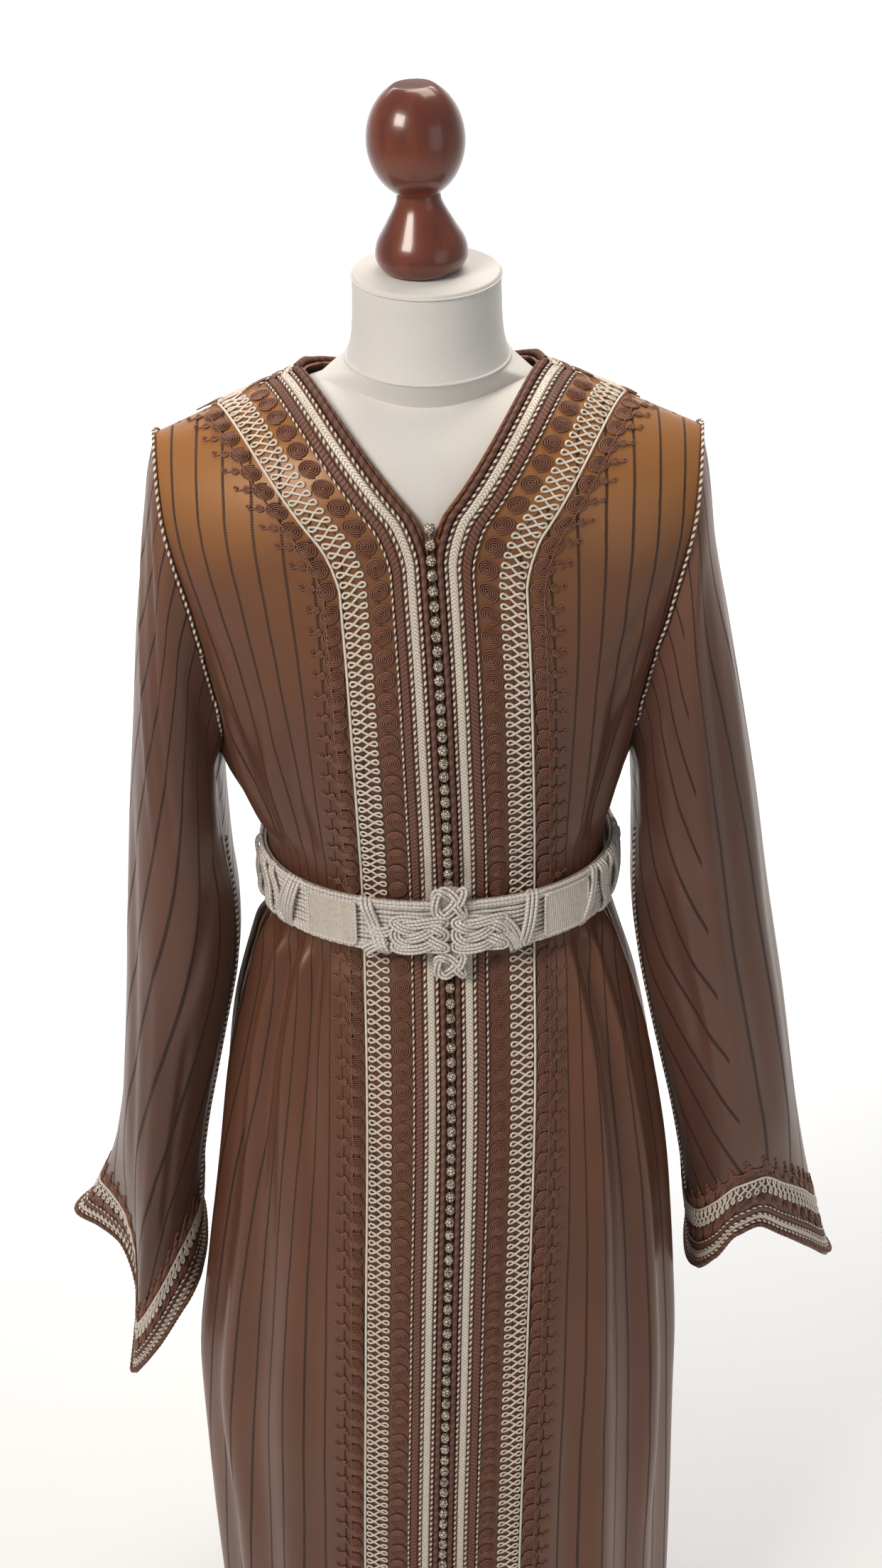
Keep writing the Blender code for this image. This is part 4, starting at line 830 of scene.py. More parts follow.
weave = {
    "pitch": 0.0210, "sleevePitch": 0.0350,
    # level, how much cloth is gathered into each metre round the body
    "gather": ((0.025, 0.86), (0.300, 0.93), (0.500, 1.04), (0.700, 1.27), (0.850, 1.68), (0.940, 2.12),
               (1.005, 2.40), (1.060, 1.96), (1.120, 1.58), (1.180, 1.28), (1.260, 1.04), (1.360, 0.90),
               (1.540, 0.86)),
    "rowSteps": 5, "trimColumns": 8, "sideColumns": 46, "backColumns": 76,
}

arcLevels = np.linspace(0.020, 1.560, 78)
arcAngles = np.linspace(0.0, math.pi, 181)


def arcGrid():
    level, angle = np.meshgrid(arcLevels, arcAngles, indexing="ij")
    half, front, behind = (tableValue(bodySections, i, level) for i in (1, 2, 3))
    power = 2.0 / cloth["roundness"]
    x = half * np.abs(np.sin(angle)) ** power
    y = np.where(np.cos(angle) < 0.0, behind, -front) * np.abs(np.cos(angle)) ** power
    gaps = np.hypot(np.diff(x, axis=1), np.diff(y, axis=1))
    return np.concatenate((np.zeros((len(arcLevels), 1)), np.cumsum(gaps, axis=1)), axis=1)


arcs = arcGrid()


# distance round the body from the middle of the front
def arcDistance(angle, level):
    turn = np.abs(np.arctan2(np.sin(angle), np.cos(angle)))
    i = np.clip((level - arcLevels[0]) / (arcLevels[1] - arcLevels[0]), 0.0, len(arcLevels) - 1.001)
    j = np.clip(turn / (arcAngles[1] - arcAngles[0]), 0.0, len(arcAngles) - 1.001)
    a, b = i.astype(int), j.astype(int)
    f, g = i - a, j - b
    return ((arcs[a, b] * (1 - g) + arcs[a, b + 1] * g) * (1 - f)
            + (arcs[a + 1, b] * (1 - g) + arcs[a + 1, b + 1] * g) * f)


def frontPlaces(side, rows):
    row, offset = np.meshgrid(rows, np.linspace(0.0002, 0.100, weave["trimColumns"] + 1), indexing="ij")
    x, level = trimPlace(side, offset, row)
    level = belowSeam(x, level, False)
    angle = angleAt(x, level, False)
    endAngle, endLevel = sideAngle(rows)
    share = np.linspace(0.0, 1.0, weave["sideColumns"] + 1)[1:]
    outerAngle = angle[:, -1:] + (side * endAngle[:, None] - angle[:, -1:]) * share
    outerLevel = level[:, -1:] + (endLevel[:, None] - level[:, -1:]) * share
    outerLevel = belowSeam(plainPoint(outerAngle, outerLevel)[..., 0], outerLevel, False)
    return np.concatenate((angle, outerAngle), axis=1), np.concatenate((level, outerLevel), axis=1)


def gridArea(grid):
    first = np.cross(grid[1:, 1:] - grid[:-1, :-1], grid[1:, :-1] - grid[:-1, 1:])
    return float(np.linalg.norm(first, axis=-1).sum() / 2.0)


rows = np.linspace(0.0, lastRow, lastRow * weave["rowSteps"] + 1)
for side, label in ((-1.0, "left"), (1.0, "right")):
    angle, level = frontPlaces(side, rows)
    outer, inner = bodyPoint(angle, level), bodyPoint(angle, level, -cloth["thickness"])
    middle = side * (centreX(level) - tableValue(bodySections, 4, level))
    reach = arcDistance(angle, level) - middle - 0.100
    count = reach * tableValue(weave["gather"], 1, level) / weave["pitch"] + 0.30
    # plain ground between the buttons and the lace
    count[:, :weave["trimColumns"] // 2 + 1] = 0.5
    piece = clothWall("front_cloth_" + label, outer, inner, count, level, False, satin, side < 0.0)
    addPiece(piece, "satin", "front_" + label)
    print("front", label, "area", round(gridArea(outer), 3))
angle, level = backPlaces(rows, np.linspace(0.0, 20.0, weave["backColumns"] + 1))
outer, inner = bodyPoint(angle, level), bodyPoint(angle, level, -cloth["thickness"])
fromBack = (arcDistance(np.full_like(level, math.pi), level) - arcDistance(angle, level))
fromBack = fromBack * np.sign(np.sin(angle) + 1e-9)
count = fromBack * tableValue(weave["gather"], 1, level) / weave["pitch"] + 0.5
piece = clothWall("back_cloth", outer, inner, count, level, False, satin)
addPiece(piece, "satin", "back")
print("back area", round(gridArea(outer), 3))
print("panels done")

# sleeves

sleeves = {
    "left": {
        "side": -1.0,
        # outer distance, outer height, inner distance, inner height, half depth, middle in y
        "rows": ((0.234, 1.369, 0.190, 1.100, 0.072, 0.002), (0.241, 1.318, 0.190, 1.082, 0.078, 0.002),
                 (0.252, 1.245, 0.189, 1.055, 0.083, 0.001), (0.261, 1.165, 0.187, 1.020, 0.086, 0.000),
                 (0.2715, 1.075, 0.183, 0.975, 0.087, -0.002), (0.281, 0.980, 0.185, 0.920, 0.087, -0.004),
                 (0.290, 0.880, 0.200, 0.850, 0.087, -0.006), (0.301, 0.780, 0.217, 0.775, 0.088, -0.008)),
        # turn, distance, y, height
        "cuff": ((0, .374, .048, .573), (20, .348, .026, .574), (40, .320, .002, .568), (60, .303, -.030, .525),
                 (80, .311, -.062, .460), (105, .283, -.080, .508), (130, .256, -.074, .552),
                 (155, .244, -.050, .568), (185, .243, -.010, .566), (230, .248, .040, .578),
                 (280, .280, .082, .584), (325, .335, .084, .580)),
        # turn and share of the length at the top, at the bottom, half width and height in mm
        "creases": ((20, .08, 70, .34, 9, 2.0), (48, .05, 96, .30, 10, -2.2), (100, .22, 60, .52, 11, 2.2),
                    (140, .20, 104, .46, 10, -2.4), (30, .38, 54, .80, 13, -3.0), (76, .44, 88, .86, 12, 2.6),
                    (112, .50, 108, .84, 11, -2.4), (150, .46, 146, .84, 12, 2.0), (200, .20, 214, .60, 12, -2.2),
                    (235, .30, 228, .78, 14, 2.4), (268, .16, 282, .66, 13, -2.6), (312, .26, 306, .82, 14, 2.6),
                    (340, .12, 352, .50, 11, -2.0), (356, .50, 348, .86, 12, 2.4)),
        "skew": (0.22, 0.22),
    },
    "right": {
        "side": 1.0,
        "rows": ((0.221, 1.368, 0.166, 1.100, 0.072, 0.002), (0.229, 1.310, 0.167, 1.082, 0.078, 0.002),
                 (0.244, 1.235, 0.168, 1.055, 0.083, 0.001), (0.260, 1.155, 0.168, 1.020, 0.086, 0.000),
                 (0.276, 1.070, 0.169, 0.975, 0.087, 0.000), (0.292, 0.970, 0.175, 0.920, 0.087, 0.000),
                 (0.311, 0.870, 0.189, 0.850, 0.087, 0.000), (0.326, 0.775, 0.206, 0.775, 0.087, 0.000)),
        "cuff": ((0, .378, .004, .542), (25, .352, -.026, .574), (50, .322, -.044, .604),
                 (72, .293, -.054, .625), (95, .272, -.060, .618), (120, .256, -.058, .590),
                 (145, .243, -.040, .562), (180, .240, -.005, .548), (225, .246, .045, .552),
                 (270, .285, .078, .560), (315, .335, .062, .556), (340, .362, .036, .550)),
        "creases": ((84, .10, 86, .80, 10, 4.2), (64, .14, 60, .82, 13, -3.2), (34, .20, 40, .84, 12, 2.2),
                    (8, .10, 18, .70, 12, -2.2), (112, .10, 96, .34, 9, -2.0), (128, .28, 110, .62, 12, -3.0),
                    (104, .40, 98, .80, 9, 2.2), (150, .40, 142, .82, 12, 2.4), (196, .20, 210, .62, 12, -2.2),
                    (232, .26, 226, .80, 14, 2.4), (266, .18, 280, .70, 13, -2.6), (310, .22, 302, .80, 14, 2.6),
                    (344, .14, 354, .60, 12, 2.2)),
        "skew": (0.52, 0.0),
    },
}
sleeveSetup = {"armholeDepth": 0.062, "fadeRows": 6, "bend": 0.45, "columns": 96, "bodyRows": 60, "cuffRows": 34,
               "foldStep": 5.0, "seamStep": 9.0}


def armholeRing(side, step):
    step = np.mod(np.asarray(step, float), 20.0)
    isBack = step > 10.0
    angle, level = sideAngle(lastLow + np.abs(10.0 - step))
    turn = np.where(isBack, side * (math.pi - angle), side * angle)
    level = belowSeam(plainPoint(turn, level)[..., 0], level, isBack)
    edge = bodyPoint(turn, level)
    normal = surfaceNormal(turn, level)
    away = unit(edge - bodyPoint(turn + np.where(isBack, 0.02, -0.02) * side, level))
    weight = np.exp(-((step - 10.0) / 0.55) ** 2)[..., None]
    away = unit(away * (1.0 - weight) + np.array((0.0, 0.0, 1.0)) * weight)
    return edge + (away + normal) * cloth["trimLift"], away, normal


def sleeveRing(side, row, step):
    outerX, outerZ, innerX, innerZ, halfDepth, middleY = row
    middle = np.array((side * (outerX + innerX) / 2.0, middleY, (outerZ + innerZ) / 2.0))
    reach = np.array((side * (outerX - innerX) / 2.0, 0.0, (outerZ - innerZ) / 2.0))
    turn = (math.pi * np.asarray(step, float) / 10.0)[..., None]
    return middle + reach * np.cos(turn) + np.array((0.0, -halfDepth, 0.0)) * np.sin(turn)


def cuffRing(side, table, step):
    closed = [(row[0] - 360.0, *row[1:]) for row in table[-2:]] + list(table)
    closed += [(row[0] + 360.0, *row[1:]) for row in table[:2]]
    turn = np.mod(18.0 * np.asarray(step, float), 360.0)
    distance, y, height = (tableValue(closed, i, turn) for i in range(1, 4))
    return np.stack((side * distance, y, height), -1)


def sleeveRings(setup, step):
    side = setup["side"]
    top = armholeRing(side, step)[0]
    ends = armholeRing(side, np.array((0.0, 10.0)))[0]
    plainTop = sleeveRing(side, (abs(ends[0, 0]), ends[0, 2], abs(ends[1, 0]), ends[1, 2],
                                 sleeveSetup["armholeDepth"], 0.0), step)
    rings = [top]
    for number, row in enumerate(setup["rows"], start=1):
        fade = max(0.0, 1.0 - number / sleeveSetup["fadeRows"]) ** 2
        rings.append(sleeveRing(side, row, step) + (top - plainTop) * fade)
    return np.array(rings)


# smooth curve through rings that are spaced unevenly
def throughRings(rings, places):
    gaps = np.linalg.norm(np.diff(rings, axis=0), axis=-1).mean(axis=1)
    keys = np.concatenate(((0.0,), np.cumsum(gaps)))
    steps = np.diff(rings, axis=0) / gaps[:, None, None]
    inner = steps[:-1] * gaps[1:, None, None] + steps[1:] * gaps[:-1, None, None]
    inner = inner / (gaps[1:] + gaps[:-1])[:, None, None]
    slopes = np.concatenate((steps[:1], inner, steps[-1:]))
    key = places * keys[-1]
    index = np.clip(np.searchsorted(keys, key, side="right") - 1, 0, len(keys) - 2)
    width = gaps[index][:, None, None]
    t = ((key - keys[index]) / gaps[index])[:, None, None]
    start = rings[index] * (1.0 + 2.0 * t) + slopes[index] * width * t
    end = rings[index + 1] * (3.0 - 2.0 * t) + slopes[index + 1] * width * (t - 1.0)
    return start * (1.0 - t) ** 2 + end * t * t


# cuff part at distances from its edge
def cuffPoints(setup, step, offsets):
    rings = sleeveRings(setup, step)
    before, start = rings[-2], rings[-1]
    end = cuffRing(setup["side"], setup["cuff"], step)
    length = np.linalg.norm(end - start, axis=-1, keepdims=True)
    bend = start + unit(start - before) * length * sleeveSetup["bend"]
    share = 1.0 - np.asarray(offsets, float)[:, None, None] / length[None]
    rest = 1.0 - share
    return start * rest * rest + bend * (2.0 * share * rest) + end * share * share


def tubeNormals(grid, closed=True):
    around = np.roll(grid, -1, axis=1) - np.roll(grid, 1, axis=1)
    normals = unit(np.cross(around, np.gradient(grid, axis=0)))
    outward = grid - grid.mean(axis=1, keepdims=True)
    return normals if (normals * outward).sum() > 0.0 else -normals


def makeSleeve(label, setup):
    side, look = setup["side"], sleeveSetup
    step = look["seamStep"] - 20.0 * np.arange(look["columns"]) / look["columns"]
    body = throughRings(sleeveRings(setup, step), np.linspace(0.0, 1.0, look["bodyRows"]))
    rings = sleeveRings(setup, step)
    full = np.linalg.norm(cuffRing(side, setup["cuff"], step) - rings[-1], axis=-1)
    shares = np.linspace(0.0, 1.0, look["cuffRows"] + 1)[1:]
    # the same curve as the trims' chart, from its start to the edge
    before, start = rings[-2], rings[-1]
    end = cuffRing(side, setup["cuff"], step)
    bend = start + unit(start - before) * full[:, None] * look["bend"]
    t = shares[:, None, None]
    cuff = start * (1 - t) ** 2 + bend * 2 * t * (1 - t) + end * t * t
    grid = np.concatenate((body, cuff))
    normals = tubeNormals(grid)
    gaps = np.linalg.norm(np.diff(grid, axis=0), axis=-1)
    length = np.concatenate((np.zeros((1, grid.shape[1])), np.cumsum(gaps, axis=0)))
    share = length / length[-1]
    left = length[-1] - length
    turn = 18.0 * step[None]
    rise = np.zeros_like(share)
    for topTurn, topShare, lowTurn, lowShare, halfWidth, height in setup["creases"]:
        t = (share - topShare) / (lowShare - topShare)
        middle = topTurn + (lowTurn - topTurn) * t
        away = np.radians((turn - middle + 180.0) % 360.0 - 180.0) * 90.0 / halfWidth
        strength = smoothStep((t + 0.12) / 0.25) * smoothStep((1.12 - t) / 0.35)
        rise += 0.001 * height * strength * np.exp(-away * away)
    rise *= smoothStep(length / 0.05) * smoothStep((left - 0.110) / 0.06)
    outer = grid + normals * rise[..., None]
    normals = tubeNormals(outer)
    away = armholeRing(side, step)[1]
    lean = np.maximum(0.0, (normals[0] * away).sum(-1, keepdims=True))
    inside = normals.copy()
    inside[0] = unit(normals[0] - away * lean)
    inner = outer - inside * cloth["thickness"]
    around = np.linalg.norm(np.roll(outer, -1, axis=1) - outer, axis=-1)
    arc = np.concatenate((np.zeros((len(outer), 1)), np.cumsum(around, axis=1)), axis=1)
    steps = np.concatenate((step, (look["seamStep"] - 20.0,)))
    fold = int(np.argmin(np.abs(steps - look["foldStep"])))
    arc -= arc[:, fold:fold + 1]
    wide = np.concatenate((length, length[:, :1]), axis=1)
    inSkew, outSkew = setup["skew"]
    fall = outer[0, :, 2].max() - np.concatenate((outer, outer[:, :1]), axis=1)[..., 2]
    count = np.where(np.arange(len(steps))[None] <= fold, arc - inSkew * fall, arc - outSkew * fall)
    count = count / weave["sleevePitch"] + 0.25
    piece = clothWall("sleeve_cloth_" + label, outer, inner, count, wide, True, sleeveSatin, side > 0.0)
    if inSkew != outSkew:
        splitAtFold(piece, outer.shape, fold, wide, outSkew)
    print("sleeve", label, "area", round(gridArea(np.concatenate((outer, outer[:, :1]), axis=1)), 3),
          "length", length[-1].max().round(3), "width", around.sum(axis=1).max().round(3))
    return addPiece(piece, "satin", "sleeve_" + label), outer, normals, step


# stripes beyond the fold line start from it anew
def splitAtFold(piece, shape, fold, wide, skew):
    rows, columns = shape[:2]
    layer = piece.data.uv_layers["pattern"].data
    values = np.zeros(len(layer) * 2, np.float32)
    layer.foreach_get("uv", values)
    values = values.reshape(-1, 2)
    vertices = np.zeros(len(piece.data.loops), np.int32)
    piece.data.loops.foreach_get("vertex_index", vertices)
    vertices = vertices % (rows * columns)
    faceOf = np.repeat(np.arange(len(piece.data.polygons)), 4)
    column, row = vertices % columns, vertices // columns
    reaches = np.zeros(len(piece.data.polygons), bool)
    np.logical_or.at(reaches, faceOf, column == fold + 1)
    here = (column == fold) & reaches[faceOf]
    values[here, 0] = 0.25 - skew * wide[row[here], 0] / weave["sleevePitch"]
    layer.foreach_set("uv", values.ravel())


sleeveForms = {}
for label, setup in sleeves.items():
    sleeveForms[label] = makeSleeve(label, setup)
print("sleeves done")

# materials of the trims

creamBand = braidMaterial("creamBraid", {"first": (0.860, 0.780, 0.655), "dark": (0.330, 0.245, 0.175),
                                         "pitch": 0.0032, "slant": 1.1, "vee": True, "gap": 0.20, "metal": 0.12,
                                         "rough": 0.42})
brownTwill = braidMaterial("brownTwill", {"first": (0.190, 0.078, 0.046), "dark": (0.055, 0.021, 0.014),
                                          "pitch": 0.0040, "slant": 0.9, "vee": False, "gap": 0.24, "metal": 0.0,
                                          "rough": 0.50})
cream = ropeMaterial("creamThread", {"first": (0.870, 0.785, 0.665), "dark": (0.430, 0.325, 0.235), "pitch": 0.004,
                                     "thread": 0.0009, "metal": 0.10, "rough": 0.42})
dashes = ropeMaterial("creamAndBrown", {"first": (0.870, 0.765, 0.640), "second": (0.110, 0.043, 0.026),
                                        "dark": (0.250, 0.170, 0.110), "soft": 0.05, "pitch": 0.0062,
                                        "thread": 0.0009, "metal": 0.12, "rough": 0.45})
brownCord = ropeMaterial("brownCord", {"first": (0.270, 0.120, 0.074), "dark": (0.140, 0.056, 0.036),
                                       "pitch": 0.004, "thread": 0.0008, "metal": 0.0, "rough": 0.50, "sheen": 0.4})
brownRope = ropeMaterial("brownRope", {"first": (0.190, 0.078, 0.046), "second": (0.100, 0.039, 0.025),
                                       "dark": (0.040, 0.018, 0.013), "soft": 0.10, "pitch": 0.0090,
                                       "thread": 0.0008, "metal": 0.0, "rough": 0.48, "sheen": 0.3})
brownBand = ropeMaterial("brownBand", {"first": (0.190, 0.078, 0.046), "dark": (0.090, 0.036, 0.022),
                                       "pitch": 0.005, "thread": 0.0016, "metal": 0.0, "rough": 0.50, "sheen": 0.3})

# trims

trims = {
    "spiralTurns": 4.3, "spiralCord": 0.00082, "curlCord": 0.00075, "tipCord": 0.00065,  # coils, curls, small loops
    "laceCord": 0.00104,
    # offsets and sizes from the edge, in metres
    "rope": (0.0063, 0.0027), "dashes": ((0.0108, 0.0013), (0.0213, 0.0012), (0.0318, 0.0009)),
    "creamBand": (0.0130, 0.0196), "brownBand": (0.0236, 0.0302), "tape": (0.0046, 0.0330),
    "innerDiscs": (0.0417, 0.0087), "outerDiscs": (0.0818, 0.0086), "curls": (0.0929, 0.0033),
    "tips": (0.0992, 0.0016), "pitch": 0.0185, "lace": (0.0612, 0.0094), "lacePitch": 0.0083,
    "laceEdges": (0.0724,), "neckStart": 1.338, "lift": 0.0005, "neckEdge": (0.0023, 0.0015),
    # loop lace: how far its loops lean over, lift of the cord and what its crossings add
    "laceLean": 0.0031, "laceLift": 0.0008, "laceCross": 0.00045,
}
bands = {
    "tape": {"lift": 0.0, "thickness": 0.0006, "pitch": 0.004, "relief": 0.0, "spacing": 0.0045, "columns": 4},
    "brownBand": {"lift": 0.0005, "thickness": 0.0016, "pitch": 0.0042, "relief": 0.0007, "spacing": 0.0014,
                  "columns": 6},
    "creamBand": {"lift": 0.0005, "thickness": 0.0016, "pitch": 0.0040, "relief": 0.0008, "spacing": 0.0015,
                  "columns": 6},
}


chartSetup = {"rows": 54, "low": 0.002, "high": 0.108, "frontColumns": 561, "neckColumns": 121,
              "cuffHigh": 0.106, "cuffColumns": 240, "neckLift": 0.0015}


def bodyChart(side, low, high, columns):
    offset, row = np.meshgrid(np.linspace(low, high, chartSetup["rows"]),
                              np.linspace(0.03, lastRow - 0.01, columns), indexing="ij")
    x, level = trimPlace(side, offset, row)
    level = belowSeam(x, level, False)
    return bodyPoint(angleAt(x, level, False), level, cloth["trimLift"])


def neckChart(low, high, columns):
    offset, turn = np.meshgrid(np.linspace(low, high, chartSetup["rows"]),
                               np.radians(np.linspace(-89.6, 89.6, columns)), indexing="ij")
    x, level = backNeckline(turn)
    x, level = x + offset * np.sin(turn), level - offset * np.cos(turn)
    nearEnd = smoothStep((np.abs(np.sin(turn)) - 0.90) / 0.10)
    level = level + (shoulderLevel(x, True) - level) * nearEnd
    level = belowSeam(x, level, True)
    return bodyPoint(angleAt(x, level, True), level, chartSetup["neckLift"])


charts = {}
low, high = chartSetup["low"], chartSetup["high"]
for side, label in ((-1.0, "front_left"), (1.0, "front_right")):
    charts[label] = makeChart(bodyChart(side, low, high, chartSetup["frontColumns"]), low, high)
charts["neck"] = makeChart(neckChart(low, high, chartSetup["neckColumns"]), low, high)
for label, setup in sleeves.items():
    offsets = np.linspace(0.0, chartSetup["cuffHigh"], chartSetup["rows"])
    steps = 20.0 * np.arange(chartSetup["cuffColumns"]) / chartSetup["cuffColumns"]
    charts["cuff_" + label] = makeChart(cuffPoints(setup, steps, offsets), 0.0, chartSetup["cuffHigh"], True)
for name, chart in charts.items():
    outward = chart["points"] - chart["points"].mean(axis=(0, 1)) * (1.0 if chart["closed"] else 0.0)
    if not chart["closed"]:
        outward = outward * np.array((1.0, 1.0, 0.0))
    if (chart["normals"] * outward).sum() < 0.0:
        chart["normals"] = -chart["normals"]


def spiral(radius, turns, segments, inner=0.10, start=0.0, hand=1.0):
    t = np.linspace(0.0, 1.0, int(segments * turns) + 1)
    size = radius * (inner + (1.0 - inner) * t)
    turn = start + hand * 2.0 * math.pi * turns * t
    return np.stack((size * np.cos(turn), size * np.sin(turn)), -1)


def centresOf(chart, base, pitch):
    length = chartLength(chart, base)
    count = max(1, int(round(length / pitch)) if chart["closed"] else int((length - 0.012) / pitch))
    if chart["closed"]:
        return np.arange(count) * length / count
    return length / 2.0 + (np.arange(count) - (count - 1) / 2.0) * pitch


def makeTrims(label, chart, nodes):
    offset, radius = trims["rope"]
    lift = trims["lift"]
    twist = {"lobes": 2, "twist": 0.0090, "relief": 0.30}
    brown = [(*braidBand(chart, *trims["tape"], **bands["tape"]), 2)]
    brown.append((*lineCord(chart, offset, radius, lift, 0.0014, 8, **twist), 1))
    brown.append((*braidBand(chart, *trims["brownBand"], **bands["brownBand"]), 0))
    if "front" in label:
        brown.append((*neckEdge(chart), 1))
    piece = joinParts("border_" + label, brown, [brownTwill, brownRope, brownBand])
    addPiece(piece, "braid", nodes[0])
    light = [(*braidBand(chart, *trims["creamBand"], **bands["creamBand"]), 0)]
    for offset, radius in trims["dashes"]:
        light.append((*lineCord(chart, offset, radius, lift, 0.0022, 6), 1))
    addPiece(joinParts("border_cream_" + label, light, [creamBand, dashes]), "lace")
    addPiece(joinParts("loop_lace_" + label, laceParts(chart), [cream]), "lace", nodes[1])
    addPiece(joinParts("spirals_" + label, discParts(chart), [brownCord]), "braid")


# twisted cord along the edge of the neckline
def neckEdge(chart):
    base, radius = trims["neckEdge"]
    length = chartLength(chart, base)
    along = np.linspace(trims["neckStart"], length - 0.0008, 330)
    points, normals = layOn(chart, base, along, np.full(330, 0.0002 + radius), base)
    return cordParts(points[None], normals[None], radius, 7, False, lobes=2, twist=0.0060, relief=0.28)


def laceParts(chart):
    base, reach = trims["lace"]
    length = chartLength(chart, base)
    count = int(length / trims["lacePitch"])
    pitch = length / count
    t = np.linspace(0.0, 2.0 * math.pi * count, 20 * count + 1)
    t = t[:-1] if chart["closed"] else t[6:-6]
    across = base + reach * np.sin(t)
    along = pitch * t / (2.0 * math.pi) + trims["laceLean"] * np.sin(2.0 * t)
    lifts = trims["laceLift"] + trims["laceCross"] * np.sin(3.0 * t + 0.6)
    points, normals = layOn(chart, across, along, lifts, base)
    parts = [(*cordParts(points[None], normals[None], trims["laceCord"], 4, chart["closed"]), 0)]
    for offset in trims["laceEdges"]:
        parts.append((*lineCord(chart, offset, 0.0011, 0.0, 0.0030, 5), 0))
    return parts


def discParts(chart):
    parts = []
    for number, (offset, radius) in enumerate((trims["innerDiscs"], trims["outerDiscs"])):
        centres = centresOf(chart, offset, trims["pitch"])
        hand = 1.0 if number else -1.0
        curve = spiral(radius - 0.0006, trims["spiralTurns"], 12, 0.06, 0.4, hand)
        lifts = 0.0006 * (1.0 - np.linalg.norm(curve, axis=1) / radius)
        parts.append((*repeatCords(chart, offset, curve, centres, trims["spiralCord"], 3, 0.0, 0.00025, False, lifts,
                                   3 + number), 0))
    # links between the outer spirals, and the curls and small loops beyond them
    offset, radius = trims["outerDiscs"]
    curlBase, curlRadius = trims["curls"]
    tipBase, tipRadius = trims["tips"]
    t = np.linspace(0.0, 1.0, 13)
    link = np.stack((radius * 0.95 * np.sin(math.pi * (t - 0.5)) * -0.35 + 0.0075 * t,
                     (t - 0.5) * trims["pitch"] * 0.92), -1)
    between = centres + trims["pitch"] / 2.0
    between = between if chart["closed"] else between[:-1]
    parts.append((*repeatCords(chart, offset, link, between, trims["curlCord"], 3, 0.0004, 0.0002), 0))
    curl = spiral(curlRadius, 2.1, 11, 0.16, 2.2, -1.0)
    parts.append((*repeatCords(chart, curlBase, curl, centres + 0.0030, trims["curlCord"], 3, 0.0, 0.0002), 0))
    tip = spiral(tipRadius, 1.1, 10, 0.75, 3.0, 1.0)
    parts.append((*repeatCords(chart, tipBase, tip, centres + 0.0052, trims["tipCord"], 3, 0.0, 0.0002), 0))
    stem = np.stack((-0.0068 + 0.0148 * t, 0.0015 * np.sin(math.pi * t) + 0.0050 * t - 0.0010), -1)
    parts.append((*repeatCords(chart, curlBase, stem, centres, trims["tipCord"], 3, 0.0, 0.0), 0))
    return parts


for label in ("left", "right"):
    makeTrims("front_" + label, charts["front_" + label], ("braid_" + label, "lace_" + label))
makeTrims("neck", charts["neck"], ("braid_neck", "lace_neck"))
for label in ("left", "right"):
    makeTrims("cuff_" + label, charts["cuff_" + label], ("cuff_braid_" + label, "cuff_lace_" + label))
print("trims done")


# buttons

buttons = {"diameter": 0.0081, "pitch": 0.0122, "top": 1.357, "bottom": 0.033, "lift": 0.0049, "sides": 12,
           "rings": 8, "knot": 0.07, "endShare": 0.53, "cord": 0.0016, "cordGap": 0.0024, "cordSway": 0.0007}
knotThread = knotMaterial("knottedThread", {"first": (0.880, 0.790, 0.640), "second": (0.640, 0.530, 0.400),
                                            "dark": (0.090, 0.055, 0.032), "cells": 430.0, "metal": 0.12,
                                            "rough": 0.42})


def centreLinePlaces(levels, lift):
    angle = angleAt(centreX(levels), levels, False)
    return bodyPoint(angle, levels, lift), surfaceNormal(angle, levels)


